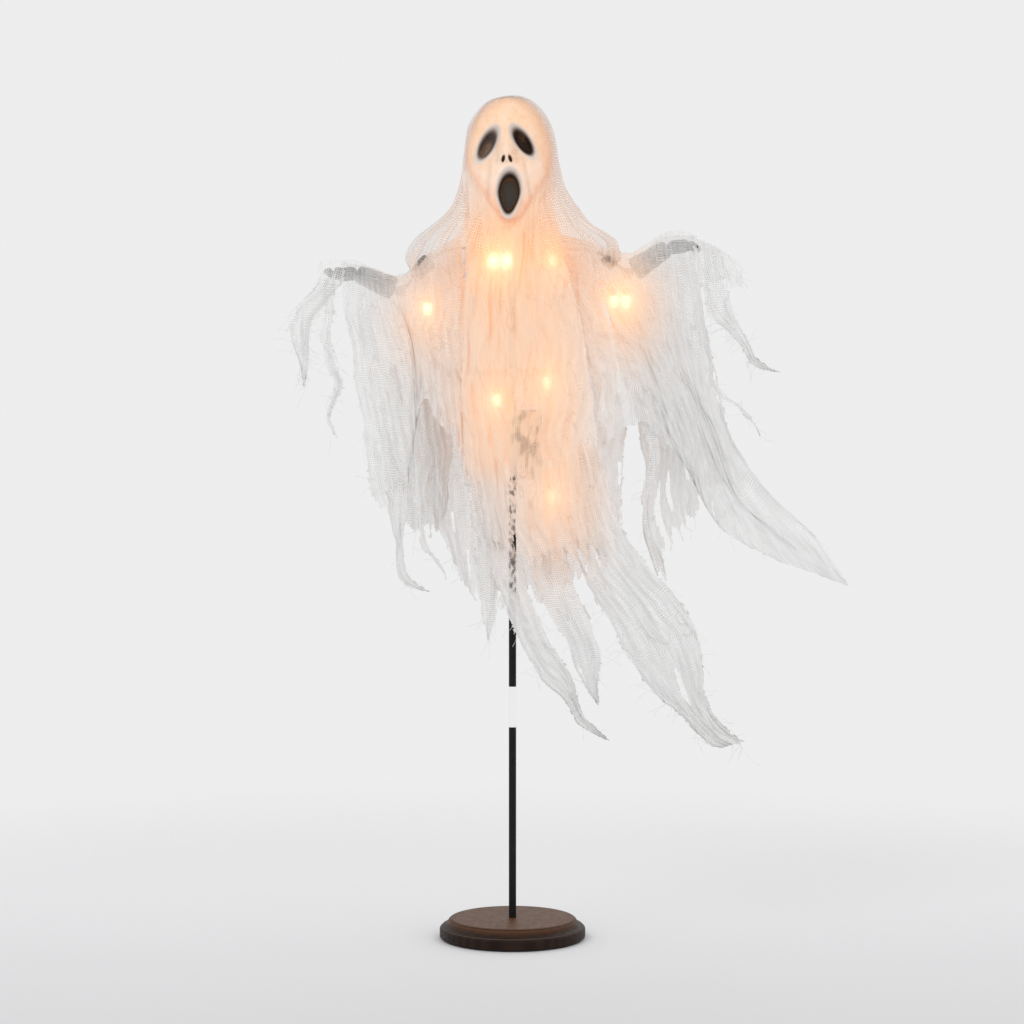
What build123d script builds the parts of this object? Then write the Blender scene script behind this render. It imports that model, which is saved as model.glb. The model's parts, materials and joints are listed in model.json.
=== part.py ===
from build123d import *
import os
from math import atan2, cos, degrees, pi, radians, sin

# Shared clearances and walls
running_gap = 0.05
seat_gap = 0.3
cut_overrun = 2.0
bend_share = 0.45
straight_share = 0.05

# Stand
plaque_radius = 79.0
plaque_height = 20.0
plaque_moulding_width = 13.0
plaque_band_height = 10.5
felt_thickness = 2.0
felt_margin = 3.0
weight_radius = 56.0
weight_thickness = 9.0
bolt_radius = 2.5
bolt_reach = 10.0
bolt_head_radius = 4.75
bolt_head_height = 2.75
bolt_hex_radius = 1.7
washer_radius = 7.0
washer_thickness = 1.2
plaque_step_share = 0.111
plaque_shoulder_share = 0.16
plaque_neck_shares = (0.34, 0.52)
plaque_round_share = 2.2
plaque_hollow_share = 0.62
plaque_ogee_share = 0.46

# Rods and the clear rod that joins them
rod_radius = 4.0
lower_rod_top = 228.0
clear_length = 44.5
spigot_radius = 2.5
spigot_length = 20.0
rod_edge = 0.3

# Head shell
neck_rise = 15.0
head_height = 134.0
head_half_width = 46.5
head_half_depth = 50.0
head_wall = 1.8
head_seam_y = 6.0
neck_hole_radius = 14.5
eye_half_height = 20.0
eye_half_width = 10.5
eye_depth = 15.0
eye_spacing = 18.5
eye_rise_share = 0.634
eye_tilt = 30.0
mouth_half_height = 23.5
mouth_half_width = 12.5
mouth_depth = 20.0
mouth_rise_share = 0.239
nose_rise_share = 0.552
nose_half_height = 15.0
nose_half_width = 6.5
nose_stand = 5.5
nostril_radius = 1.5
nostril_rise_share = 0.515
nostril_spacing = 3.6
nostril_depth = 7.0
head_shares = (
    (0.0, 0.54, 0.56, -0.16), (0.09, 0.70, 0.74, -0.12), (0.24, 0.86, 0.90, -0.06), (0.42, 0.96, 0.98, -0.02),
    (0.62, 1.0, 1.0, 0.0), (0.80, 0.90, 0.92, 0.0), (0.92, 0.66, 0.68, 0.0), (1.0, 0.20, 0.20, 0.0),
)

# Neck post between the hub and the head
post_radius = 9.0
post_crown = 6.0
rod_in_head = 23.0
post_flange_radius = 20.0
post_flange_thickness = 4.0

# Hub that clamps the yoke on the rod
hub_width = 44.0
hub_depth = 13.0
hub_height = 28.0
hub_bottom = 734.0
hub_cap_depth = 8.0
hub_corner = 3.0
hub_screw_radius = 1.5
hub_screw_head_radius = 2.8
hub_screw_head_height = 1.6
hub_screw_share = 0.36
thumb_shank_radius = 2.0
thumb_knob_radius = 6.5
thumb_knob_length = 6.0
thumb_flutes = 12
thumb_flute_radius = 0.72

# Yoke, elbows and forearms
wire_radius = 1.5
yoke_y = 9.8
elbow_gap = 0.6
eye_ring_radius = 6.0
eye_thickness = 2.4
rivet_radius = 1.7
rivet_head_radius = 3.4
rivet_head_height = 1.2
left_shoulder = (-78.0, 751.0)
left_elbow = (-122.0, 702.0)
left_wrist = (-170.0, 722.0)
left_fingertip = (-205.0, 719.0)
right_shoulder = (92.0, 749.0)
right_elbow = (126.0, 722.0)
right_wrist = (170.0, 750.0)
right_fingertip = (205.0, 753.0)
foam_elbow_radius = 12.0
foam_wrist_radius = 8.5
shoulder_foam_radius = 8.0
foam_edge = 2.0
foam_wrist_share = 0.97
shoulder_pad_shares = (0.28, 0.6)
palm_length = 21.0
palm_width = 21.0
palm_thickness = 12.0
finger_radius = 2.7
finger_spread = 4.84
finger_count = 4
palm_round_share = 0.42
knuckle_share = 0.75
finger_splay_shares = (1.06, 1.1)
finger_droop_shares = (0.04, -0.36)
finger_short_share = 0.07
longest_finger_share = 0.467
thumb_root_shares = (0.35, -0.34, 0.0)
thumb_end_shares = (0.95, -0.48, -0.34)

# Rings that spread the gown and carry the string
ring_half_width = 50.0
ring_half_depth = 36.0
ring_band = 3.0
ring_collar_radius = 7.0
ring_collar_height = 6.0
spoke_width = 2.4
lower_ring_z = 490.3
middle_ring_z = 611.4
upper_ring_z = 724.4

# Light string
string_radius = 0.8
string_drop = 1.0
lamp_radius = 4.5
lamp_length = 13.0
lamp_foot = 3.0
holder_radius = 4.2
holder_length = 8.0
clip_width = 3.0
clip_wall = 1.4
splice_radius = 2.2
splice_length = 9.0
head_lead_y = 12.0
string_back_y = 24.0
lead_bend_back = 3.0
lead_bend_rise = 11.0
lead_rise = 18.0
elbow_lamp_drop = 20.5
elbow_lamp_back = 2.2
elbow_lamp_spread = 14.0
elbow_lamp_inset = 9.0

# Battery case
case_left = -2.0
case_width = 34.0
case_depth = 21.0
case_bottom = 497.0
case_wall = 1.8
case_clear_of_rod = 1.4
case_exit_y = 15.0
case_exit_share = 0.16
door_thickness = 1.8
door_lip = 1.0
door_rib_stand = 0.2
door_rib_width_share = 0.45
door_rib_shares = (0.26, 0.32, 0.38)
cell_radius = 7.1
cell_length = 49.5
cell_button_radius = 2.75
cell_button_height = 1.0
contact_thickness = 0.5
contact_half_width = 5.0
contact_room = 22.9
spring_radius = 3.0
spring_taper_shares = (1.4, 0.7)
switch_slot_width = 3.2
slider_height = 4.0
slider_travel = 3.0
slider_stand = 2.2
slider_flange = 1.2
clip_arm = 1.8
clip_height = 12.0
clip_mouth_angle = 100.0
clip_rise_shares = (0.25, 0.75)
switch_rise_share = 0.22

# Gauze
gauze = 1.2
hood_arcs = 14
hem_drop = 31.0
hood_half_width = 112.0
hood_half_depth = 52.0
hood_clear = 1.0
face_half_width = 37.0
face_half_height = 57.0
face_rise_share = 0.433
window_reach_share = 0.9
hood_wave = 8.0
gown_width = 200.0
gown_drop = 500.0
cuff_width = 50.0
cuff_drop = 100.0
sleeve_front_drape = 18.0
sleeve_back_drape = 16.0
sleeve_reach_share = 1.14
sleeve_wrap_shares = ((0.057, 0.0), (0.75, 0.25), (1.12, 1.0))
sleeve_wrap_fold_share = 0.05
crest_overhang_share = 0.8
crest_inset_share = 1.3
hood_shares = (
    (0.0, 1.0, 1.0, 1.0), (0.066, 0.92, 1.01, 0.9), (0.13, 0.76, 1.02, 0.7), (0.235, 0.63, 1.05, 0.5),
    (0.46, 0.535, 1.05, 0.32), (0.68, 0.48, 1.05, 0.2), (0.845, 0.445, 0.98, 0.16), (0.945, 0.33, 0.77, 0.12),
    (1.0, 0.18, 0.42, 0.1),
)
left_crest_share = (1.67, 1.17)
right_crest_share = (1.03, 2.21)
left_sleeve_front_shares = (
    (-0.935, 0.112, -0.36, 0.116, 0, 0.04, 0.2), (-0.785, 0.25, -0.35, 0.25, 0, 0.08, 0.25),
    (-0.795, 0.372, -0.55, 0.36, 0, 0.08, 0.3), (-0.79, 0.556, -0.70, 0.54, 0, 0.02, 0.2),
)
left_sleeve_back_shares = (
    (-0.88, 0.132, -0.42, 0.132, 0, -0.02, 0.15), (-0.75, 0.292, -0.46, 0.30, 0, -0.02, 0.25),
    (-0.73, 0.492, -0.52, 0.508, 0, -0.02, 0.3), (-0.64, 0.684, -0.54, 0.696, 0, 0, 0.2),
    (-0.50, 0.732, -0.45, 0.744, 0, 0, 0.15),
)
right_sleeve_front_shares = (
    (0.48, 0.10, 1.06, 0.084, 0, 0.04, 0.2), (0.48, 0.252, 1.08, 0.252, 0, 0.08, 0.25),
    (0.66, 0.388, 1.16, 0.38, 0, 0.08, 0.3), (1.0, 0.50, 1.31, 0.464, 0, 0.06, 0.3),
    (1.21, 0.60, 1.44, 0.52, 0, 0.04, 0.3), (1.48, 0.632, 1.60, 0.586, 0, 0.02, 0.25),
    (1.67, 0.696, 1.75, 0.682, 0, 0.01, 0.2), (1.785, 0.736, 1.83, 0.73, 0, 0.01, 0.15),
)
right_sleeve_back_shares = (
    (0.54, 0.124, 1.03, 0.112, 0, -0.02, 0.15), (0.52, 0.292, 1.01, 0.284, 0, -0.02, 0.25),
    (0.67, 0.432, 0.79, 0.42, 0, -0.02, 0.2), (0.71, 0.592, 0.78, 0.588, 0, 0, 0.2),
    (0.79, 0.70, 0.83, 0.704, 0, 0, 0.15),
)
left_cuff_shares = (
    (-0.72, -0.092, -0.35, -0.12, 0.088, 0, 0.15), (-1.4, 0.003, -1.24, 0.138, 0, 0, 0.2),
    (-1.46, 0.543, -0.92, 0.603, -0.08, 0, 0.25), (-1.4, 0.823, -1.0, 0.823, -0.08, 0, 0.2),
    (-1.2, 1.323, -1.04, 1.363, -0.04, 0, 0.15),
)
right_cuff_shares = (
    (0.464, -0.207, 0.76, -0.182, 0.04, 0, 0.15), (0.96, 0.263, 1.36, 0.043, 0, 0, 0.2),
    (0.96, 0.603, 1.76, 0.463, -0.08, 0, 0.25), (1.08, 0.983, 1.48, 0.903, -0.08, 0, 0.2),
    (1.64, 1.283, 1.84, 1.203, -0.04, 0, 0.15), (2.28, 1.403, 2.4, 1.353, -0.04, 0, 0.15),
)
gown_front_shares = (
    (-0.33, 0.0, 0.37, 0.0, -0.73, 0.25, 0.2), (-0.33, 0.212, 0.40, 0.212, -0.66, 0.34, 0.3),
    (-0.31, 0.372, 0.43, 0.372, -0.65, 0.36, 0.35), (-0.29, 0.552, 0.46, 0.552, -0.64, 0.36, 0.35),
    (-0.23, 0.692, 0.48, 0.692, -0.63, 0.30, 0.35),
)
gown_back_shares = (
    (-0.44, 0.0, 0.48, 0.0, 0.64, -0.34, 0.15), (-0.49, 0.212, 0.52, 0.212, 0.78, -0.16, 0.25),
    (-0.55, 0.372, 0.50, 0.372, 0.78, -0.16, 0.25), (-0.44, 0.552, 0.42, 0.552, 0.74, -0.16, 0.3),
    (-0.35, 0.668, 0.30, 0.632, 0.66, -0.18, 0.3),
)
left_tail_shares = (
    (-0.225, 0.692, -0.07, 0.692, -0.82, 0.04, 0.2), (-0.21, 0.772, -0.09, 0.776, -0.6, 0.02, 0.2),
    (-0.17, 0.848, -0.13, 0.852, -0.45, 0, 0.15),
)
centre_tail_shares = (
    (-0.05, 0.692, 0.13, 0.692, -0.88, 0.04, 0.2), (0.03, 0.82, 0.21, 0.832, -0.6, 0.02, 0.2),
    (0.23, 0.96, 0.37, 0.964, -0.35, 0.02, 0.2), (0.46, 1.072, 0.53, 1.08, -0.2, 0, 0.15),
)
inner_tail_shares = (
    (0.15, 0.692, 0.30, 0.692, -0.87, 0.04, 0.2), (0.27, 0.824, 0.40, 0.84, -0.5, 0.02, 0.2),
    (0.42, 0.968, 0.475, 0.984, -0.3, 0, 0.15),
)
great_tail_shares = (
    (0.32, 0.692, 0.47, 0.692, -0.76, 0.04, 0.2), (0.46, 0.76, 0.81, 0.72, -0.4, 0.04, 0.3),
    (0.62, 0.86, 1.04, 0.816, -0.2, 0.04, 0.35), (0.79, 0.964, 1.045, 0.924, -0.1, 0.04, 0.3),
    (1.0, 1.068, 1.11, 1.024, -0.05, 0.02, 0.2), (1.21, 1.075, 1.26, 1.06, -0.05, 0, 0.15),
)

os.makedirs("parts", exist_ok=True)
parts = {}

lower_rod_bottom = felt_thickness + weight_thickness
upper_rod_bottom = lower_rod_top + clear_length
forearm_y = yoke_y - 2 * wire_radius - elbow_gap
yoke_z = hub_bottom + hub_height / 2
post_bottom = hub_bottom + hub_height
head_bottom = post_bottom + neck_rise
head_top = head_bottom + head_height
eye_height = head_bottom + eye_rise_share * head_height
mouth_height = head_bottom + mouth_rise_share * head_height
nose_height = head_bottom + nose_rise_share * head_height
nostril_height = head_bottom + nostril_rise_share * head_height
face_height = head_bottom + face_rise_share * head_height
upper_rod_top = head_bottom + rod_in_head
post_top = upper_rod_top + post_crown
hem_height = head_bottom - hem_drop
case_height = cell_length + 2 * case_wall + contact_room
case_exit = (case_left + case_width - case_wall, case_exit_y, case_bottom + case_height * case_exit_share)


def disc(radius, height, bottom=0.0, x=0.0, y=0.0):
    """A cylinder standing on its lower face."""
    return Pos(x, y, bottom) * Cylinder(radius, height, align=(Align.CENTER, Align.CENTER, Align.MIN))


def rod_between(start, end, radius):
    """A straight round bar between two points."""
    line = Line(start, end)
    return sweep(Plane(origin=line @ 0, z_dir=line % 0) * Circle(radius), path=line)


def taper_between(start, end, start_radius, end_radius):
    """A straight bar that tapers between two points."""
    line = Line(start, end)
    first = Plane(origin=line @ 0, z_dir=line % 0) * Circle(start_radius)
    last = Plane(origin=line @ 1, z_dir=line % 0) * Circle(end_radius)
    return loft([first, last])


def bent_tube(points, radii, radius, label):
    """A tube along straight runs joined by tangent arcs."""
    path = FilletPolyline(*points, radius=radii) if len(points) > 2 else Line(*points)
    tube = sweep(Plane(origin=path @ 0, z_dir=path % 0) * Circle(radius), path=path)
    share = tube.volume / (pi * radius ** 2 * path.length)
    print(label, "radii", [round(r, 1) for r in radii])
    print(label, "length", round(path.length), "volume share", round(share, 4))
    return tube


def corner_radii(points):
    """The largest tangent arc that each corner's two runs allow."""
    radii = []
    for before, here, after in zip(points, points[1:], points[2:]):
        run_in, run_out = Vector(*here) - Vector(*before), Vector(*after) - Vector(*here)
        turn = radians(run_in.get_angle(run_out))
        half_tangent = abs(sin(turn / 2) / cos(turn / 2))
        radii.append(bend_share * min(run_in.length, run_out.length) / max(half_tangent, straight_share))
    return radii


def ellipsoid(half_x, half_y, half_z):
    """A ball stretched to three half sizes."""
    return scale(Sphere(1), by=(half_x, half_y, half_z))


# Stand
def plaque_profile():
    """Half section of the plaque: square band, small step, ogee and flat top."""
    foot, top = felt_thickness, felt_thickness + plaque_height
    band_top = foot + plaque_band_height
    step = (plaque_height - plaque_band_height) * plaque_step_share
    moulding = plaque_moulding_width
    top_r = plaque_radius - moulding
    shoulder = plaque_radius - moulding * plaque_shoulder_share
    neck_r = top_r + moulding * plaque_neck_shares[0]
    neck_z = band_top + (top - band_top) * plaque_neck_shares[1]
    edge = [
        Line((0, foot), (plaque_radius - step / 2, foot)),
        Line((plaque_radius - step / 2, foot), (plaque_radius, foot + step / 2)),
        Line((plaque_radius, foot + step / 2), (plaque_radius, band_top - 2 * step)),
        RadiusArc((plaque_radius, band_top - 2 * step), (shoulder, band_top), -plaque_round_share * step),
        Line((shoulder, band_top), (shoulder - step / 3, band_top + step)),
        RadiusArc((shoulder - step / 3, band_top + step), (neck_r, neck_z), moulding * plaque_hollow_share),
        RadiusArc((neck_r, neck_z), (top_r, top), -moulding * plaque_ogee_share),
        Line((top_r, top), (0, top)),
        Line((0, top), (0, foot)),
    ]
    return Plane.XZ * make_face(edge)


def build_stand():
    plaque = revolve(plaque_profile(), axis=Axis.Z)
    plaque -= disc(weight_radius + seat_gap, weight_thickness, felt_thickness)
    plaque -= disc(rod_radius + running_gap, plaque_height + cut_overrun, felt_thickness)
    parts["base_plaque"] = plaque
    parts["base_felt_pad"] = disc(plaque_radius - felt_margin, felt_thickness)
    pocket_depth = washer_thickness + bolt_head_height + seat_gap
    weight = disc(weight_radius, weight_thickness, felt_thickness)
    weight -= disc(washer_radius + seat_gap, pocket_depth, felt_thickness)
    weight -= disc(bolt_radius + seat_gap, weight_thickness + cut_overrun, felt_thickness)
    parts["base_weight"] = weight
    washer_z = felt_thickness + pocket_depth - washer_thickness
    washer = disc(washer_radius, washer_thickness, washer_z)
    parts["base_washer"] = washer - disc(bolt_radius + seat_gap, washer_thickness + cut_overrun, washer_z)
    head = disc(bolt_head_radius, bolt_head_height, washer_z - bolt_head_height)
    head = chamfer(head.edges().group_by(Axis.Z)[0], bolt_head_height / 6)
    hexagon = extrude(RegularPolygon(bolt_hex_radius, 6), bolt_head_height / 2)
    hexagon = Pos(0, 0, washer_z - bolt_head_height) * hexagon
    shank = disc(bolt_radius, lower_rod_bottom - washer_z + bolt_reach, washer_z)
    parts["base_bolt"] = head + shank - hexagon
    rod = disc(rod_radius, lower_rod_top - lower_rod_bottom, lower_rod_bottom)
    rod = chamfer(rod.edges().group_by(Axis.Z)[-1], rod_edge)
    rod -= disc(bolt_radius, bolt_reach + seat_gap, lower_rod_bottom)
    bore_depth = spigot_length + seat_gap
    rod -= disc(spigot_radius + running_gap, bore_depth, lower_rod_top - bore_depth)
    parts["lower_rod"] = rod


def build_rods():
    clear = disc(rod_radius, clear_length, lower_rod_top)
    clear += disc(spigot_radius, spigot_length, lower_rod_top - spigot_length)
    clear += disc(spigot_radius, spigot_length, upper_rod_bottom)
    parts["clear_joint_rod"] = clear
    rod = disc(rod_radius, upper_rod_top - upper_rod_bottom, upper_rod_bottom)
    rod -= disc(spigot_radius + running_gap, spigot_length + seat_gap, upper_rod_bottom)
    parts["upper_rod"] = rod


# Head
def head_form(inset):
    """The smooth head, lofted through level ovals and drawn in all round by the inset."""
    ovals = []
    for height, width, depth, forward in head_shares:
        z = head_bottom + inset + (head_top - head_bottom - 2 * inset) * height
        oval = Ellipse(head_half_width * width - inset, head_half_depth * depth - inset)
        ovals.append(Pos(0, forward * head_half_depth, z) * oval)
    return loft(ovals)


def face_depth(x, z):
    """How far forward the head's surface stands at a place on the face."""
    share = (z - head_bottom) / (head_top - head_bottom)
    for low, high in zip(head_shares, head_shares[1:]):
        if low[0] <= share <= high[0]:
            mix = (share - low[0]) / (high[0] - low[0])
            width, depth, forward = (low[i] + (high[i] - low[i]) * mix for i in (1, 2, 3))
            reach = max(0.0, 1 - (x / (head_half_width * width)) ** 2) ** 0.5
            return head_half_depth * (forward - depth * reach)
    return 0.0


def hollow(x, z, half_width, half_height, depth, tilt, grow):
    """A sunk oval of the face, leaning by the tilt."""
    ball = ellipsoid(half_width + grow, depth + grow, half_height + grow)
    return Pos(x, face_depth(x, z), z) * Rot(0, tilt, 0) * ball


def build_head():
    outer, inner = head_form(0.0), head_form(head_wall)
    shell = outer - inner
    hollows = [
        (-eye_spacing, eye_height, eye_half_width, eye_half_height, eye_depth, eye_tilt),
        (eye_spacing, eye_height, eye_half_width, eye_half_height, eye_depth, -eye_tilt),
        (0.0, mouth_height, mouth_half_width, mouth_half_height, mouth_depth, 0.0),
    ]
    nose = ellipsoid(nose_half_width, nose_stand, nose_half_height)
    nose = Pos(0, face_depth(0, nose_height), nose_height) * nose
    face = shell + (nose - inner)
    for place in hollows:
        face += hollow(*place, head_wall) & outer
    for place in hollows:
        face -= hollow(*place, 0.0)
    for side in (-1, 1):
        x = side * nostril_spacing
        start = (x, face_depth(x, nostril_height) - nose_stand - cut_overrun, nostril_height)
        end = (x, face_depth(x, nostril_height) + nostril_depth - nose_stand, nostril_height + nostril_radius)
        face -= rod_between(start, end, nostril_radius)
    reach = 2 * head_top
    back_space = Box(reach, reach, reach, align=(Align.CENTER, Align.MIN, Align.CENTER))
    back_space = Pos(0, head_seam_y, 0) * back_space
    neck_hole = disc(neck_hole_radius, head_wall * 4, head_bottom - head_wall)
    parts["head_front"] = face - back_space - neck_hole
    parts["head_back"] = (shell & back_space) - neck_hole


def build_neck_post():
    post = disc(post_radius, post_top - post_bottom, post_bottom)
    post += disc(post_flange_radius, post_flange_thickness, head_bottom - post_flange_thickness)
    post -= disc(rod_radius, upper_rod_top - post_bottom, post_bottom)
    hole_bottom = head_bottom - 2 * post_flange_thickness
    lead_hole = disc(string_radius + seat_gap, 3 * post_flange_thickness, hole_bottom, 0, head_lead_y)
    parts["neck_post"] = post - lead_hole


# Hub, yoke and arms
def yoke_points():
    return [
        (left_elbow[0], yoke_y, left_elbow[1]), (left_shoulder[0], yoke_y, left_shoulder[1]),
        (-hub_width / 2, yoke_y, yoke_z), (hub_width / 2, yoke_y, yoke_z),
        (right_shoulder[0], yoke_y, right_shoulder[1]), (right_elbow[0], yoke_y, right_elbow[1]),
    ]


def elbow_eye(elbow, y, bore):
    """The flattened ring at a wire's end, square to the elbow's axis, and its bore."""
    place = Pos(elbow[0], y, elbow[1]) * Rot(90, 0, 0)
    return place * Cylinder(eye_ring_radius, eye_thickness), place * Cylinder(bore, 2 * eye_thickness)


def build_hub():
    corner_place = Pos(0, 0, post_bottom - hub_height / 2)
    block = Box(hub_width, yoke_y + hub_depth, hub_height)
    block = corner_place * Pos(0, (yoke_y - hub_depth) / 2, 0) * block
    block = fillet(block.edges().filter_by(Axis.Z).group_by(Axis.Y)[0], hub_corner)
    cap = corner_place * Pos(0, yoke_y + hub_cap_depth / 2, 0) * Box(hub_width, hub_cap_depth, hub_height)
    cap = fillet(cap.edges().filter_by(Axis.Z).group_by(Axis.Y)[-1], hub_corner)
    bend = corner_radii(yoke_points())
    yoke = bent_tube(yoke_points(), bend, wire_radius, "shoulder_yoke")
    for elbow in (left_elbow, right_elbow):
        ring, bore = elbow_eye(elbow, yoke_y, rivet_radius)
        yoke = yoke + ring - bore
    thumb_z = hub_bottom + hub_height / 4
    thumb_hole = rod_between((0, -2 * hub_depth, thumb_z), (0, 0, thumb_z), thumb_shank_radius)
    block = block - yoke - disc(rod_radius, 2 * hub_height, hub_bottom - cut_overrun) - thumb_hole
    cap -= yoke
    screws = []
    screw_end = yoke_y - 2 * hub_screw_head_radius
    cap_face = yoke_y + hub_cap_depth
    for x in (-hub_screw_share * hub_width, hub_screw_share * hub_width):
        for z in (yoke_z - hub_height / 4, yoke_z + hub_height / 4):
            shank = rod_between((x, screw_end, z), (x, cap_face, z), hub_screw_radius)
            head_face = cap_face + hub_screw_head_height
            head = rod_between((x, cap_face, z), (x, head_face, z), hub_screw_head_radius)
            slot = Pos(x, head_face, z) * Box(
                2 * hub_screw_head_radius, hub_screw_head_height, hub_screw_head_radius / 4)
            block -= shank
            cap -= shank
            screws.append(shank + head - slot)
    parts["hub_body"], parts["hub_cap"], parts["shoulder_yoke"] = block, cap, yoke
    parts["hub_screws"] = Compound(children=screws)
    shank = rod_between((0, -hub_depth - seat_gap, thumb_z), (0, -rod_radius, thumb_z), thumb_shank_radius)
    knob_end = -hub_depth - thumb_knob_length
    knob = rod_between((0, knob_end, thumb_z), (0, -hub_depth, thumb_z), thumb_knob_radius)
    for i in range(thumb_flutes):
        turn = 2 * pi * i / thumb_flutes
        x, z = thumb_knob_radius * cos(turn), thumb_z + thumb_knob_radius * sin(turn)
        flute = rod_between((x, -3 * hub_depth, z), (x, 0, z), thumb_flute_radius)
        knob -= flute
    parts["thumb_screw"] = knob + shank


def hand_form(wrist, tip):
    """An open mitt with four blunt fingers and a thumb, drooping at the wrist."""
    angle = degrees(atan2(tip[1] - wrist[1], tip[0] - wrist[0]))
    palm = fillet(Box(palm_length, palm_width, palm_thickness).edges(), palm_thickness * palm_round_share)
    palm = Pos(palm_length / 2, 0, 0) * palm
    reach = Vector(tip[0] - wrist[0], tip[1] - wrist[1]).length - finger_radius
    for i in range(finger_count):
        y = (i - (finger_count - 1) / 2) * finger_spread
        length = reach * (1 - finger_short_share * abs(i - (finger_count - 1) * longest_finger_share))
        knuckle = (palm_length * knuckle_share, y, 0)
        joint_y, end_y = (y * share for share in finger_splay_shares)
        joint_z, end_z = (palm_thickness * share for share in finger_droop_shares)
        joint = ((palm_length + length) / 2, joint_y, joint_z)
        end = (length, end_y, end_z)
        palm += rod_between(knuckle, joint, finger_radius) + Pos(*joint) * Sphere(finger_radius)
        palm += rod_between(joint, end, finger_radius) + Pos(*end) * Sphere(finger_radius)
    palm_size = (palm_length, palm_width, palm_thickness)
    thumb_root = tuple(size * share for size, share in zip(palm_size, thumb_root_shares))
    thumb_end = tuple(size * share for size, share in zip(palm_size, thumb_end_shares))
    palm += rod_between(thumb_root, thumb_end, finger_radius) + Pos(*thumb_end) * Sphere(finger_radius)
    return Pos(wrist[0], forearm_y, wrist[1]) * Rot(0, -angle, 0) * palm


def build_arm(side, shoulder, elbow, wrist, tip):
    """Forearm wire with its elbow ring, the foam on it, the hand, and the foam at the shoulder."""
    along = Vector(wrist[0] - elbow[0], 0, wrist[1] - elbow[1])
    origin = Vector(elbow[0], forearm_y, elbow[1])
    wire_end = origin + along + along.normalized() * palm_length / 2
    wire = rod_between(origin, wire_end, wire_radius)
    ring, bore = elbow_eye(elbow, forearm_y, rivet_radius + running_gap)
    wire = wire + ring - bore
    foam_start = origin + along.normalized() * (eye_ring_radius + foam_edge)
    foam_end = origin + along * foam_wrist_share
    foam = taper_between(foam_start, foam_end, foam_elbow_radius, foam_wrist_radius)
    foam = fillet(foam.edges().filter_by(GeomType.CIRCLE), foam_edge)
    hand = hand_form(wrist, tip)
    parts[f"{side}_forearm_foam"] = foam - wire - hand
    parts[f"{side}_hand"] = hand - wire
    parts[f"{side}_forearm_wire"] = wire
    upper = Vector(elbow[0] - shoulder[0], 0, elbow[1] - shoulder[1])
    top = Vector(shoulder[0], yoke_y, shoulder[1])
    pad_start, pad_end = (top + upper * share for share in shoulder_pad_shares)
    pad = taper_between(pad_start, pad_end, shoulder_foam_radius, shoulder_foam_radius)
    pad = fillet(pad.edges().filter_by(GeomType.CIRCLE), foam_edge)
    parts[f"{side}_shoulder_foam"] = pad - parts["shoulder_yoke"]


def build_arms():
    build_arm("left", left_shoulder, left_elbow, left_wrist, left_fingertip)
    build_arm("right", right_shoulder, right_elbow, right_wrist, right_fingertip)
    rivets = []
    for elbow in (left_elbow, right_elbow):
        front = forearm_y - wire_radius - seat_gap
        back = yoke_y + wire_radius
        x, z = elbow
        pin = rod_between((x, front, z), (x, back, z), rivet_radius)
        pin += rod_between((x, front - rivet_head_height, z), (x, front, z), rivet_head_radius)
        pin += rod_between((x, back, z), (x, back + rivet_head_height, z), rivet_head_radius)
        rivets.append(pin)
    parts["elbow_rivets"] = Compound(children=rivets)


# Rings and the light string
def build_rings():
    band = Ellipse(ring_half_width + ring_band / 2, ring_half_depth + ring_band / 2)
    band -= Ellipse(ring_half_width - ring_band / 2, ring_half_depth - ring_band / 2)
    for name, z in (("lower", lower_ring_z), ("middle", middle_ring_z), ("upper", upper_ring_z)):
        ring = extrude(band, ring_band)
        ring += Pos(0, 0, ring_band / 2) * Box(2 * ring_half_width, spoke_width, ring_band)
        ring += Box(spoke_width, ring_half_depth, ring_band, align=(Align.CENTER, Align.MAX, Align.MIN))
        ring += disc(ring_collar_radius, ring_collar_height)
        ring -= disc(rod_radius, 2 * ring_collar_height, -cut_overrun)
        parts[f"{name}_ring"] = Pos(0, 0, z) * ring


def under_ring(ring_z, angle, drop=string_drop):
    """A place of the string under a ring's band, turned from +X towards the front."""
    turn = radians(angle)
    return (ring_half_width * cos(turn), -ring_half_depth * sin(turn), ring_z - drop)


class StringRoute:
    """The string's route, with the runs that carry lamps and clips marked as it is drawn."""

    def __init__(self):
        self.points, self.lamps, self.clips = [], [], []

    def to(self, *points):
        self.points += points

    def middle(self):
        return tuple((a + b) / 2 for a, b in zip(*self.points[-2:]))

    def lamp_to(self, point, pointing):
        self.to(point)
        self.lamps.append((*self.middle(), pointing))

    def clip_to(self, point, ring):
        self.to(point)
        (x0, y0, _), (x1, y1, _) = self.points[-2:]
        self.clips.append((*self.middle(), degrees(atan2(y1 - y0, x1 - x0)), ring))


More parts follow.
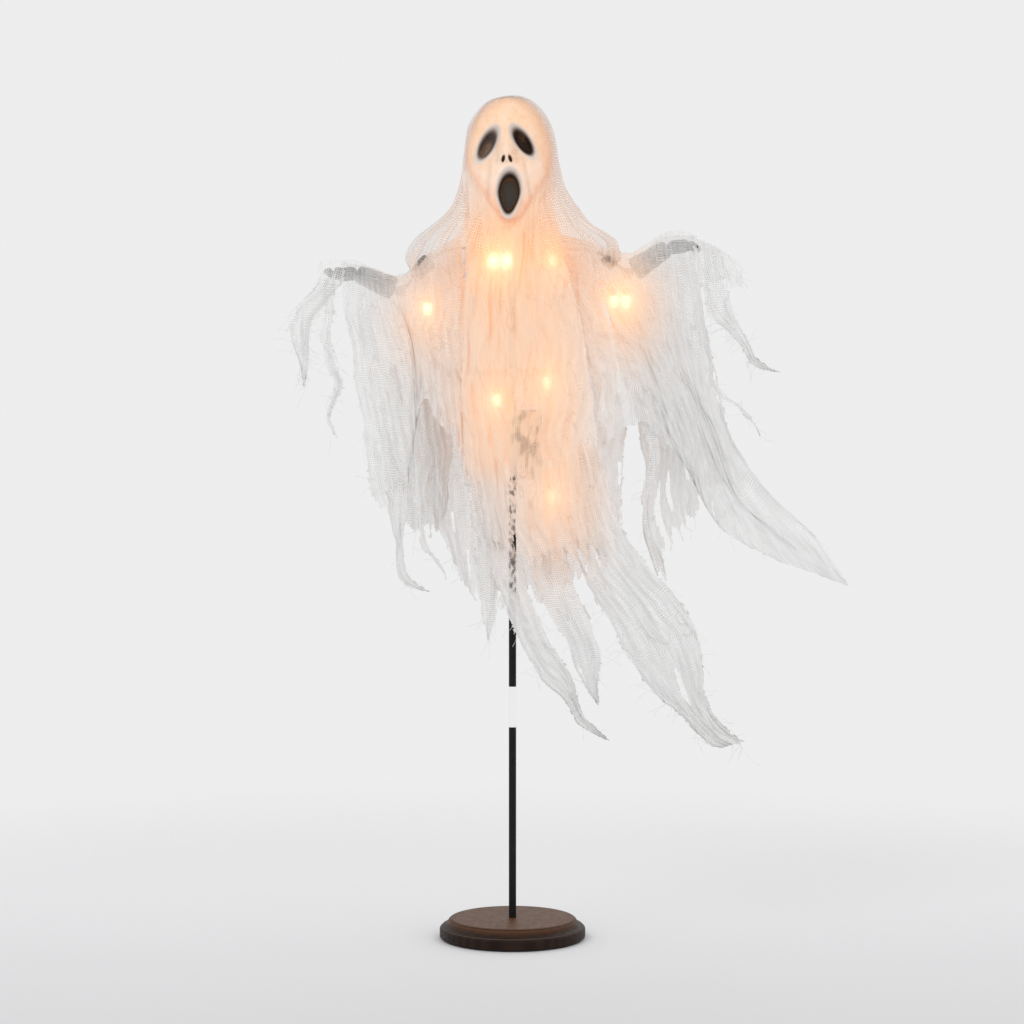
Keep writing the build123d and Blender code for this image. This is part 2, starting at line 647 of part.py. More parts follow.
def string_route():
    """From the battery case round the three rings and out to both elbows."""
    route = StringRoute()
    route.to(case_exit, (44.0, 13.0, 507.0), (55.5, 5.0, 500.0), (56.0, -5.0, 491.0),
             under_ring(lower_ring_z, 20))
    route.lamp_to(under_ring(lower_ring_z, 40), -1)
    route.to(under_ring(lower_ring_z, 62))
    route.clip_to(under_ring(lower_ring_z, 84), "lower_ring")
    route.to((-9.0, -40.0, 489.3), (-17.0, -40.5, 512.0), (-27.0, -40.0, 548.0), (-31.0, -37.0, 578.0),
             (-24.0, -34.0, 591.5))
    route.lamp_to((-10.0, -34.0, 591.5), -1)
    route.to((-1.0, -35.5, 601.0), under_ring(middle_ring_z, 76))
    route.clip_to(under_ring(middle_ring_z, 54), "middle_ring")
    route.lamp_to(under_ring(middle_ring_z, 31), -1)
    route.to(under_ring(middle_ring_z, 10), (57.0, -4.0, 610.4), (57.5, 0.0, 642.0), (55.0, 1.0, 680.0),
             (53.0, 0.0, 710.0), under_ring(upper_ring_z, 15))
    route.lamp_to(under_ring(upper_ring_z, 36), 1)
    route.clip_to(under_ring(upper_ring_z, 64), "upper_ring")
    route.to(under_ring(upper_ring_z, 86))
    route.lamp_to(under_ring(upper_ring_z, 104), 1)
    route.lamp_to(under_ring(upper_ring_z, 124), 1)
    route.clip_to(under_ring(upper_ring_z, 146), "upper_ring")
    route.to(under_ring(upper_ring_z, 166), (-58.0, -2.0, 712.0), (-73.0, 2.0, 699.0), (-85.0, 3.0, 692.5))
    route.lamp_to((-99.0, 3.0, 692.5), -1)
    route.to((-107.0, 8.0, 699.0), (-106.0, 18.0, 709.0), (-98.0, string_back_y, 727.0),
             (-80.0, string_back_y, 745.0), (-54.0, string_back_y, 751.0), (-22.0, string_back_y, 749.0),
             (22.0, string_back_y, 749.5), (60.0, string_back_y, 750.0), (90.0, string_back_y, 743.0),
             (103.0, string_back_y, 728.0), (99.0, 17.0, 708.0))
    first_x, lamp_z = right_elbow[0] - elbow_lamp_inset, right_elbow[1] - elbow_lamp_drop
    lamp_y = yoke_y + elbow_lamp_back
    route.to((first_x - elbow_lamp_spread, lamp_y, lamp_z))
    route.lamp_to((first_x, lamp_y, lamp_z), -1)
    route.lamp_to((first_x + elbow_lamp_spread, lamp_y + wire_radius / 3, lamp_z), -1)
    return route


def lamp(holder_z, x, y, pointing):
    """One lamp and its holder; the string passes through the holder's middle."""
    half = holder_length / 2
    holder = Pos(x, y, holder_z) * Cylinder(holder_radius, holder_length)
    bulb = Cylinder(lamp_foot, half / 2, align=(Align.CENTER, Align.CENTER, Align.MIN))
    body = Pos(0, 0, half / 2) * Cylinder(lamp_radius, lamp_length - lamp_radius - half / 2,
                                          align=(Align.CENTER, Align.CENTER, Align.MIN))
    body += Pos(0, 0, lamp_length - lamp_radius) * Sphere(lamp_radius)
    turn = Rot(0, 0, 0) if pointing > 0 else Rot(180, 0, 0)
    return holder, Pos(x, y, holder_z + pointing * half) * turn * (bulb + body)


def build_string():
    route = string_route()
    rings = [parts[name] for name in ("lower_ring", "middle_ring", "upper_ring")]
    string = bent_tube(route.points, corner_radii(route.points), string_radius, "light_string")
    splice_z = yoke_z + 2 * string_radius
    lead_z = post_top + 2 * spigot_length
    lead_points = [
        (0, string_back_y - splice_radius / 2, splice_z + splice_radius),
        (0, string_back_y - lead_bend_back, splice_z + lead_bend_rise),
        (0, head_lead_y, splice_z + lead_rise), (0, head_lead_y, lead_z),
    ]
    lead = bent_tube(lead_points, corner_radii(lead_points), string_radius, "head_lamp_lead")
    holders, bulbs = [], []
    for x, y, z, pointing in route.lamps:
        holder, bulb = lamp(z, x, y, pointing)
        for ring in rings:
            holder -= ring
            bulb -= ring
        holders.append(holder - string)
        bulbs.append(bulb)
    holder, bulb = lamp(lead_z, 0, head_lead_y, 1)
    holders.append(holder - lead)
    bulbs.append(bulb)
    splice = rod_between((-splice_length / 2, string_back_y, splice_z),
                         (splice_length / 2, string_back_y, splice_z), splice_radius)
    parts["light_string"] = string
    parts["head_lamp_lead"] = lead - splice
    parts["lead_splice"] = splice - string
    parts["lamp_holders"] = Compound(children=holders)
    parts["lamps"] = Compound(children=bulbs)
    clips = []
    height = ring_band + string_drop + string_radius + 2 * clip_wall
    for x, y, z, heading, ring in route.clips:
        block = Box(clip_width, ring_band + 2 * clip_wall, height)
        clip = Pos(x, y, z + (ring_band + string_drop - string_radius) / 2) * Rot(0, 0, heading) * block
        clips.append((clip - parts[ring] - string).solids().sort_by(SortBy.VOLUME)[-1])
    parts["string_clips"] = Compound(children=clips)


# Battery case
def build_case():
    front = rod_radius + case_clear_of_rod
    centre_x = case_left + case_width / 2
    middle_z = case_bottom + case_height / 2
    back = front + case_depth
    body = Box(case_width, case_depth, case_height)
    body = fillet(body.edges().filter_by(Axis.Z).group_by(Axis.Y)[0], case_wall)
    body = Pos(centre_x, front + case_depth / 2, middle_z) * body
    room = Box(case_width - 2 * case_wall, case_depth, case_height - 2 * case_wall)
    body -= Pos(centre_x, front + case_depth / 2 + case_wall, middle_z) * room
    door_width = case_width - 2 * case_wall + 2 * door_lip
    door_height = case_height - case_wall + door_lip
    door_y = back - case_wall - door_thickness / 2
    groove = Box(door_width + 2 * seat_gap, door_thickness + 2 * seat_gap, door_height + cut_overrun * 4)
    door_z = case_bottom + case_wall - door_lip + door_height / 2
    body -= Pos(centre_x, door_y, door_z + cut_overrun * 2) * groove
    door = Pos(centre_x, door_y, door_z + seat_gap) * Box(door_width, door_thickness, door_height)
    for share in door_rib_shares:
        rib = Box(door_width * door_rib_width_share, 2 * door_rib_stand, door_thickness / 2)
        door += Pos(centre_x, door_y + door_thickness / 2, door_z - door_height * share) * rib
    parts["battery_door"] = door
    build_cells(centre_x, front, middle_z)
    build_switch(body, front, middle_z)


def build_cells(centre_x, front, middle_z):
    """Two cells side by side, heads up and down, each between a flat and a sprung contact."""
    cells, contacts = [], []
    cell_y = front + case_wall + cell_radius + seat_gap
    room_half = case_height / 2 - case_wall
    for side in (-1, 1):
        x = centre_x + side * (cell_radius + seat_gap / 2)
        cell = Cylinder(cell_radius, cell_length)
        cell = fillet(cell.edges().filter_by(GeomType.CIRCLE), cell_radius / 12)
        cell += Pos(0, 0, cell_length / 2) * Cylinder(
            cell_button_radius, cell_button_height, align=(Align.CENTER, Align.CENTER, Align.MIN))
        lift = side * (room_half - contact_thickness - cell_button_height - cell_length / 2)
        cells.append(Pos(x, cell_y, middle_z + lift) * Rot(0 if side > 0 else 180, 0, 0) * cell)
        for end in (-1, 1):
            plate = Pos(x, cell_y, middle_z + end * (room_half - contact_thickness / 2)) * Box(
                2 * contact_half_width, 2 * contact_half_width, contact_thickness)
            if end != side:
                tip = middle_z + lift + end * cell_length / 2
                root = middle_z + end * (room_half - contact_thickness)
                wide, narrow = (spring_radius * share for share in spring_taper_shares)
                plate += taper_between((x, cell_y, root), (x, cell_y, tip), wide, narrow)
            contacts.append(plate)
    parts["battery_cells"] = Compound(children=cells)
    parts["battery_contacts"] = Compound(children=contacts)


def build_switch(body, front, middle_z):
    """Slide switch in the case's right wall, and the clip that holds the case on the rod."""
    wall_x = case_left + case_width
    switch_y = front + case_wall + switch_slot_width
    switch_z = middle_z + case_height * switch_rise_share
    slot_height = slider_height + slider_travel + 2 * seat_gap
    slider_z = switch_z - slider_travel / 2
    slot = Box(4 * case_wall, switch_slot_width + 2 * seat_gap, slot_height)
    body -= Pos(wall_x, switch_y, switch_z) * slot
    room = (case_width - 2 * case_wall - 4 * cell_radius - seat_gap) / 2
    stem_length = case_wall + slider_stand + room / 2
    stem = Pos(wall_x + slider_stand - stem_length / 2, switch_y, slider_z) * Box(
        stem_length, switch_slot_width, slider_height)
    flange_x = wall_x - case_wall - room / 2
    flange = Pos(flange_x, switch_y, slider_z) * Box(
        room - seat_gap, switch_slot_width + 2 * slider_flange, slider_height)
    parts["power_switch"] = stem + flange
    grip = Cylinder(rod_radius + clip_arm, clip_height) - Cylinder(rod_radius, 2 * clip_height)
    mouth = Pos(0, -2 * rod_radius, 0) * Box(2 * rod_radius * sin(radians(clip_mouth_angle / 2)),
                                            4 * rod_radius, 2 * clip_height)
    grip -= mouth
    neck = Pos(0, rod_radius + case_clear_of_rod / 2, 0) * Box(
        rod_radius, case_clear_of_rod, clip_height)
    clips = []
    for share in clip_rise_shares:
        z = case_bottom + case_height * share
        clip = Pos(0, 0, z) * (grip + neck) & Pos(0, 0, z) * Box(
            4 * rod_radius, 2 * front, 2 * clip_height)
        clips.append(clip)
    parts["rod_clips"] = Compound(children=clips)
    hole_start = (case_exit[0] - case_wall, *case_exit[1:])
    hole_end = (wall_x + cut_overrun, *case_exit[1:])
    exit_hole = rod_between(hole_start, hole_end, 2 * string_radius)
    parts["battery_case"] = body - exit_hole


# Gauze
def folded_section(left, right, middle_y, bulge, fold_share, arcs):
    """One flat cut across a hanging sheet: arcs that swing to and fro between its two side edges."""
    steps = 2 * arcs
    fold = fold_share * (Vector(*right) - Vector(*left)).length / arcs
    line = []
    for i in range(steps + 1):
        u = i / steps
        y = middle_y - bulge * (1 - (2 * u - 1) ** 2)
        if i % 2:
            y += fold * (1 if i // 2 % 2 else -1)
        line.append((left[0] + (right[0] - left[0]) * u, y, left[1] + (right[1] - left[1]) * u))
    front = [(x, y - gauze / 2, z) for x, y, z in line]
    rear = [(x, y + gauze / 2, z) for x, y, z in line][::-1]
    edges = [ThreePointArc(*front[i:i + 3]) for i in range(0, steps, 2)]
    edges.append(Line(front[-1], rear[0]))
    edges += [ThreePointArc(*rear[i:i + 3]) for i in range(0, steps, 2)]
    edges.append(Line(rear[-1], front[0]))
    return Wire(edges)


def hanging_sheet(levels, arcs):
    """A folded sheet through level lines, each given by its two ends, depth, bulge and fold share."""
    return Solid.make_loft([folded_section(*level, arcs) for level in levels], ruled=True)


def sheet_levels(shares, start, width, drop, middle_y=None):
    """Level lines from shares of a sheet's width, its drop below its start, and the hood's depth."""
    levels = []
    for left_x, left_down, right_x, right_down, depth, bulge, fold in shares:
        levels.append((
            (start[0] + left_x * width, start[1] - left_down * drop),
            (start[0] + right_x * width, start[1] - right_down * drop),
            depth * hood_half_depth if middle_y is None else middle_y, bulge * hood_half_depth, fold,
        ))
    return levels


def gown_levels(shares, middle_y=None):
    """Level lines of a sheet that hangs from the hood's hem."""
    return sheet_levels(shares, (0, hem_height - seat_gap), gown_width, gown_drop, middle_y)


def hood_ring(z, half_width, half_depth, wave, inset):
    """One level of the hood: arcs that swing out and in round an oval."""
    edges = []
    middle_share = cos(pi / hood_arcs)
    a, b = half_width - inset, half_depth - inset
    for k in range(hood_arcs):
        turns = [2 * pi * (k + step) / hood_arcs for step in (0, 0.5, 1)]
        swing = wave if k % 2 else -wave * 0.5
        middle = ((a * middle_share + swing) * cos(turns[1]), (b * middle_share + swing) * sin(turns[1]), z)
        ends = [(a * cos(t), b * sin(t), z) for t in (turns[0], turns[2])]
        edges.append(ThreePointArc(ends[0], middle, ends[1]))
    return Wire(edges)


def build_hood():
    hood_top = head_top + hood_clear + gauze
    levels = []
    for height, width, depth, wave in hood_shares:
        levels.append((hem_height + (hood_top - hem_height) * height,
                       hood_half_width * width, hood_half_depth * depth, hood_wave * wave))
    outer = Solid.make_loft([hood_ring(*level, 0.0) for level in levels], ruled=True)
    inside = [(z - gauze if z > hem_height else z - cut_overrun, *sizes) for z, *sizes in levels]
    inner = Solid.make_loft([hood_ring(*level, gauze) for level in inside], ruled=True)
    window = Pos(0, -hood_half_depth, face_height) * Rot(90, 0, 0) * extrude(
        Ellipse(face_half_width, face_half_height), hood_half_depth * window_reach_share, both=True)
    parts["hood"] = outer - inner - window


def sleeve_wrap(crest, side):
    """The three upper levels of a sleeve, from its crest over the forearm to the front or the back."""
    reach = foam_elbow_radius * sleeve_reach_share
    levels = []
    for out, drop in sleeve_wrap_shares:
        y = forearm_y + side * reach * out
        levels.append(((crest[0][0], crest[0][1] - drop * reach), (crest[1][0], crest[1][1] - drop * reach),
                       y, 0.0, sleeve_wrap_fold_share))
    return levels


def arm_crests():
    """Both crests, left end first: each lies along the top of its forearm's foam."""
    beyond, inside = palm_length * crest_overhang_share, eye_ring_radius * crest_inset_share
    far_rise, near_rise = left_crest_share[0] * foam_wrist_radius, left_crest_share[1] * foam_elbow_radius
    left = ((left_wrist[0] - beyond, left_wrist[1] + far_rise),
            (left_elbow[0] + inside, left_elbow[1] + near_rise))
    near_rise, far_rise = right_crest_share[0] * foam_elbow_radius, right_crest_share[1] * foam_wrist_radius
    right = ((right_elbow[0] - inside, right_elbow[1] + near_rise),
             (right_wrist[0] + beyond, right_wrist[1] + far_rise))
    return left, right


def build_sleeves():
    left_crest, right_crest = arm_crests()
    front_y, back_y = forearm_y - sleeve_front_drape, forearm_y + sleeve_back_drape
    for name, crest, side, y, shares in (
        ("left_sleeve_front", left_crest, -1, front_y, left_sleeve_front_shares),
        ("left_sleeve_back", left_crest, 1, back_y, left_sleeve_back_shares),
        ("right_sleeve_front", right_crest, -1, front_y, right_sleeve_front_shares),
        ("right_sleeve_back", right_crest, 1, back_y, right_sleeve_back_shares),
    ):
        parts[name] = hanging_sheet(sleeve_wrap(crest, side) + gown_levels(shares, y), 6)


def build_gown():
    for name, shares, arcs in (
        ("gown_front", gown_front_shares, 10), ("gown_back", gown_back_shares, 10),
        ("left_tail", left_tail_shares, 3), ("centre_tail", centre_tail_shares, 3),
        ("inner_tail", inner_tail_shares, 3), ("great_tail", great_tail_shares, 5),
    ):
        levels = gown_levels(shares)
        if name.endswith("tail"):
            levels[0] = tuple((x, z - seat_gap) for x, z in levels[0][:2]) + levels[0][2:]
        parts[name] = hanging_sheet(levels, arcs)


def build_cuffs():
    for name, shares, wrist in (
        ("left_cuff", left_cuff_shares, left_wrist), ("right_cuff", right_cuff_shares, right_wrist),
    ):
        parts[name] = hanging_sheet(sheet_levels(shares, wrist, cuff_width, cuff_drop), 3)


build_stand()
build_rods()
build_head()
build_neck_post()
build_hub()
build_arms()
build_rings()
build_string()
build_case()
build_hood()
build_sleeves()
build_gown()
build_cuffs()

for name, solid in parts.items():
    solid.label = name
    export_step(solid, f"parts/{name}.step")
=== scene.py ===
import json
from math import cos, exp, pi, radians, sin, sqrt

import bmesh
import bpy
import numpy as np
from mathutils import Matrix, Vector, noise


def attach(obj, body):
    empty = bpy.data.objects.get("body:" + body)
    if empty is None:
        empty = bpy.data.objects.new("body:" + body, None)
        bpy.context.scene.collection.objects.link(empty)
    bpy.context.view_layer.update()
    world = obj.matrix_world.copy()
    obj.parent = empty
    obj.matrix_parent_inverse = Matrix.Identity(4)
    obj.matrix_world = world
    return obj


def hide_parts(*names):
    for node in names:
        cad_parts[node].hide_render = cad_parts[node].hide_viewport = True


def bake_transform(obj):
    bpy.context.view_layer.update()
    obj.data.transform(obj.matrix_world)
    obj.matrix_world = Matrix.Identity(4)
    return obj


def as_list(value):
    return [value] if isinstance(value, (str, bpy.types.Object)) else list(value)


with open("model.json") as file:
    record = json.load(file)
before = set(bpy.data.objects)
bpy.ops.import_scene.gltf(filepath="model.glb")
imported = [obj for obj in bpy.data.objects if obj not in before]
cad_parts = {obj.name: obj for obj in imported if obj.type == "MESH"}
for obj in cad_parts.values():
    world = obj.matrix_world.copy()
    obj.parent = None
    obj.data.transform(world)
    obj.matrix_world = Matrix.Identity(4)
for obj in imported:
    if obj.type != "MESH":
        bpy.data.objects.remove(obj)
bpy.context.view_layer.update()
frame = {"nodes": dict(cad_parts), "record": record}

mm = 0.001
thread_seed = 31
noise.seed_set(thread_seed)

# Camera, as the photograph was taken
photo_size = 1024
photo_middle = 512.0
rod_px = 512.5
ground_px = 938.0
lens_mm = 73.9
sensor_mm = 36.0
camera_distance = 2.283
camera_height = 0.462
metres_per_px = camera_distance * sensor_mm / (lens_mm * photo_size)

# Studio: each light's name, place, size and watts, all aimed at the figure's middle
studio_lights = (
    ("key", (-1.6, -1.9, 2.4), 1.6, 17.0),
    ("fill", (1.9, -1.6, 1.3), 1.8, 7.0),
    ("rim", (0.6, 2.2, 2.0), 1.8, 8.0),
)
lights_aim = Vector((0, 0, 0.55))
room_light, backdrop = (0.80, 0.80, 0.81), (0.850, 0.850, 0.853)
# Painted shade: the floor is darker near the front than far back
near_floor, far_floor = (0.70, 0.70, 0.705), (0.83, 0.83, 0.835)
floor_half_size, floor_cells = 1.6, 24
floor_fade = (0.55, 1.5)
sheets_seen_through = 40

# Lamps, in metres: across, depth, height and how far their light reaches
torso_reach, elbow_reach, head_reach = 0.046, 0.034, 0.036
lamps = (
    (0.0426, -0.0177, 0.479, torso_reach), (-0.017, -0.034, 0.581, torso_reach),
    (0.0361, -0.0238, 0.600, torso_reach), (0.0420, -0.0152, 0.730, torso_reach),
    (-0.0063, -0.0354, 0.728, torso_reach), (-0.0210, -0.0324, 0.728, torso_reach),
    (-0.092, 0.003, 0.682, elbow_reach), (0.110, 0.012, 0.691, elbow_reach),
    (0.124, 0.0123, 0.691, elbow_reach), (0.0, 0.012, 0.846, head_reach), (0.0, -0.025, 0.798, head_reach),
)

# Lamp light painted on the gauze as colour and emission: wide warmth, a hot spot with its halo, and two lit
# columns down the chest
lamp_stretch = (1.0, 0.55, 0.62)
spot_stretch = (1.0, 0.22, 0.72)
hot_reach, hot_strength = 0.0064, 0.80
halo_reach, halo_strength = 0.022, 0.28
upward_stretch = 1.35
warm_strength = 1.2
column_half_width = 0.027
column_middles = (-0.024, 0.040)
column_bottom, column_top = 0.49, 0.78
column_share = 0.50

# Gauze, in metres
thread_pitch = 0.0024
grid_step = 0.0022
thread_radius = 0.00016
thread_steps = 7
narrowest_sheet = 0.012
side_fray = 0.003
selvedge_width, selvedge_cover = 0.0016, 0.48
edge_shake = 0.0011

# Where the gauze in front has worn thin: left, right, bottom, top, how much thinner, grain of the specks
thin_spots = (
    (-0.0045, 0.0045, 0.375, 0.500, 0.72, 330.0), (-0.002, 0.033, 0.500, 0.578, 0.46, 150.0),
    (0.086, 0.112, 0.724, 0.760, 0.60, 130.0),
)

# Arms: depth of their middle and room under the cloth in mm, and turns of the cloth round them in degrees
arm_depth = 6.2
arm_room = 4.5
arm_turns = (0, 32, 62, 95)
left_hinge = ("left_forearm", (-0.105, 0.0, 0.60), (-0.160, 0.0, 0.725))
right_hinge = ("right_forearm", (0.105, 0.0, 0.62), (0.160, 0.0, 0.745))

# Foam, in metres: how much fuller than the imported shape, cell of its skin and depth of its lumps
foam_fuller, foam_cell, foam_rough = 0.0010, 0.0011, 0.0007
foam_smoothings = 6

# Head, in metres
head_bottom, head_top = 0.768, 0.911
head_half_width, head_half_depth = 0.0465, 0.050
head_middle_x = -0.003
head_wall = 0.0014
head_seam_turn = 97.0

# Head at shares of its height: share, half width, half depth, forward lean
head_rings = (
    (0.0, 0.60, 0.46, -0.22), (0.07, 0.78, 0.70, -0.18), (0.24, 0.93, 0.90, -0.06), (0.42, 0.98, 0.98, -0.02),
    (0.62, 1.0, 1.0, 0.0), (0.80, 0.88, 0.92, 0.0), (0.92, 0.62, 0.68, 0.0), (0.975, 0.40, 0.42, 0.0),
    (1.0, 0.0, 0.0, 0.0),
)

# Ovals on the face: middle across, middle height, half width, half height in metres, lean in degrees
left_eye_oval = (-0.0268, 0.8540, 0.0085, 0.0186, 29)
right_eye_oval = (0.0112, 0.8560, 0.0080, 0.0180, -36)
# The glow ovals mark painted lamp glow inside the eyes
left_glow_oval = (-0.0290, 0.8500, 0.0068, 0.0130, 27)
right_glow_oval = (0.0105, 0.8630, 0.0045, 0.0090, -33)
mouth_x, mouth_z, mouth_half_width, mouth_half_height, mouth_lean = -0.0037, 0.8014, 0.0126, 0.0232, 3
nostril_x, nostril_z, nostril_lean = 0.0036, 0.8372, -16
nostril_half_width, nostril_half_height = 0.0018, 0.0036
face_slant = 0.067

# Hood: height and reach in mm of its outline on each side, from the crown to the hem
hood_left = (
    (914, 0), (907, 26), (895, 39), (878, 49), (850, 53), (823, 56), (800, 62), (784, 71), (772, 84),
    (760, 98), (748, 106), (736, 111), (724, 109), (712, 101),
)
hood_right = (
    (914, 0), (911, 14), (906, 23), (898, 32), (886, 40), (873, 45), (859, 48), (845, 50), (831, 53),
    (817, 56), (802, 63), (785, 74), (774, 84), (766, 97), (758, 109), (748, 113), (738, 115), (730, 115),
)
hood_front = (
    (914, 0), (907, 33), (893, 47), (877, 54), (850, 56), (823, 55), (800, 52), (777, 50), (750, 52),
    (725, 54), (700, 56), (680, 57),
)
hood_back = (
    (914, 0), (907, 32), (893, 44), (877, 51), (850, 54), (823, 54), (800, 53), (777, 53), (760, 55),
    (748, 57), (738, 58), (730, 59),
)
hood_rows, hood_columns = 110, 250
hood_pleats = 17
hood_flat, hood_cloth = (0.52, 0.25), (0.52, 0.22)

# The hood's opening over the face, in metres
window_x, window_z = -0.004, 0.832
window_half_width, window_half_height = 0.034, 0.056
window_depth = -0.012


# Places and numbers
def spot(px, py, depth):
    """The place of a photograph's pixel, at a depth in millimetres behind the rod's plane."""
    y = depth * mm
    spread = (camera_distance + y) / camera_distance
    x = (px - rod_px) * metres_per_px * spread
    z = camera_height + ((ground_px - py) * metres_per_px - camera_height) * spread
    return Vector((x, y, z))


def smoothstep(low, high, value):
    t = min(1.0, max(0.0, (value - low) / (high - low)))
    return t * t * (3 - 2 * t)


def mix(a, b, t):
    return a + (b - a) * t


def bell(value, middle, width):
    """1 where a value is at its middle, falling away smoothly over a width."""
    return exp(-((value - middle) / width) ** 2)


def wander(a, b, c):
    """Smooth noise at a place given by three numbers, from about -1 to 1."""
    return noise.noise(Vector((a, b, c)))


def new_piece(name, data):
    """An object at the origin, put into the scene."""
    piece = bpy.data.objects.new(name, data)
    bpy.context.scene.collection.objects.link(piece)
    return piece


def mesh_from(bm, name):
    """Turns a finished bmesh into a mesh with smooth faces."""
    for face in bm.faces:
        face.smooth = True
    mesh = bpy.data.meshes.new(name)
    bm.to_mesh(mesh)
    bm.free()
    return mesh


# Shader building
def feed(tree, target, value):
    """Sets an input socket to a value, or links it to the socket that gives the value."""
    if isinstance(value, bpy.types.NodeSocket):
        tree.links.new(value, target)
    else:
        target.default_value = value


def node(tree, kind, inputs=None, **settings):
    """A shader node with its settings, and its inputs given as values or as sockets to link."""
    made = tree.nodes.new(kind)
    for name, value in settings.items():
        setattr(made, name, value)
    for key, value in (inputs or {}).items():
        feed(tree, made.inputs[key], value)
    return made


def maths(tree, operation, *values, clamp=False):
    inputs = dict(enumerate(values))
    return node(tree, "ShaderNodeMath", inputs, operation=operation, use_clamp=clamp).outputs[0]


def times(tree, first, second):
    return maths(tree, "MULTIPLY", first, second)


def vector_maths(tree, operation, place, value):
    """Adds, subtracts or multiplies by three numbers, or scales by one."""
    key = "Scale" if operation == "SCALE" else 1
    return node(tree, "ShaderNodeVectorMath", {0: place, key: value}, operation=operation).outputs[0]


def stretched(tree, place, scale):
    return vector_maths(tree, "MULTIPLY", place, scale)


def mapped(tree, value, low, high, to_low=0.0, to_high=1.0, kind="SMOOTHSTEP"):
    inputs = {"Value": value, "From Min": low, "From Max": high, "To Min": to_low, "To Max": to_high}
    return node(tree, "ShaderNodeMapRange", inputs, interpolation_type=kind).outputs["Result"]


def near(tree, value, middle, width, strength=1.0):
    """Full strength where a value is at its middle, and none a width away."""
    off = maths(tree, "ABSOLUTE", maths(tree, "SUBTRACT", value, middle))
    return mapped(tree, off, 0.0, width, strength, 0.0)


def blended(tree, share, first, second):
    """A colour between two, each a socket or red, green and blue."""
    made = node(tree, "ShaderNodeMix", {"Factor": share}, data_type="RGBA")
    for key, colour in ((6, first), (7, second)):
        feed(tree, made.inputs[key], colour if isinstance(colour, bpy.types.NodeSocket) else (*colour, 1.0))
    return made.outputs[2]


def noise_value(tree, place, scale, detail=3.0, roughness=0.55):
    inputs = {"Vector": place, "Scale": scale, "Detail": detail, "Roughness": roughness}
    return node(tree, "ShaderNodeTexNoise", inputs).outputs["Fac"]


def attribute(tree, name):
    return node(tree, "ShaderNodeAttribute", attribute_name=name).outputs["Fac"]


def axis_of(tree, place, axis):
    return node(tree, "ShaderNodeSeparateXYZ", {0: place}).outputs[axis]


def new_group(name, vector, numbers, outputs):
    """An empty node group with a vector and numbers going in and numbers coming out, and its end nodes."""
    group = bpy.data.node_groups.new(name, "ShaderNodeTree")
    group.interface.new_socket(vector, in_out="INPUT", socket_type="NodeSocketVector")
    for label in numbers:
        group.interface.new_socket(label, in_out="INPUT", socket_type="NodeSocketFloat")
    for label in outputs:
        group.interface.new_socket(label, in_out="OUTPUT", socket_type="NodeSocketFloat")
    return group, group.nodes.new("NodeGroupInput"), group.nodes.new("NodeGroupOutput")


def placed(tree, group, inputs):
    """A shared node group put into a tree: its output sockets."""
    return node(tree, "ShaderNodeGroup", inputs, node_tree=group).outputs


# Lamp light
def light_up(mesh):
    """Writes the painted lamp glow of a mesh: how strongly the lamps warm each point, and how hot it glows
    right beside one.
    """
    places = np.empty(len(mesh.vertices) * 3)
    mesh.vertices.foreach_get("co", places)
    places = places.reshape(-1, 3)
    warm, hot = np.zeros(len(places)), np.zeros(len(places))
    for *lamp, reach in lamps:
        offset = (places - lamp) * lamp_stretch
        offset[:, 2] *= np.where(offset[:, 2] > 0, upward_stretch, 1.0)
        away = np.linalg.norm(offset, axis=1)
        warm += np.exp(-(away / reach) ** 2)
        if reach == head_reach:
            continue
        away = np.linalg.norm((places - lamp) * spot_stretch, axis=1)
        hot += hot_strength * np.exp(-(away / hot_reach) ** 2)
        hot += halo_strength * np.exp(-(away / halo_reach) ** 2)
    height = places[:, 2]
    inside = np.clip(np.minimum(height - column_bottom, column_top - height) / column_half_width, 0, 1)
    for middle in column_middles:
        warm += column_share * inside * np.exp(-((places[:, 0] - middle) / column_half_width) ** 2)
    warm = 1 - np.exp(-warm_strength * warm)
    for name, values in (("warm", warm), ("hot", hot)):
        mesh.attributes.new(name, "FLOAT", "POINT").data.foreach_set("value", values)


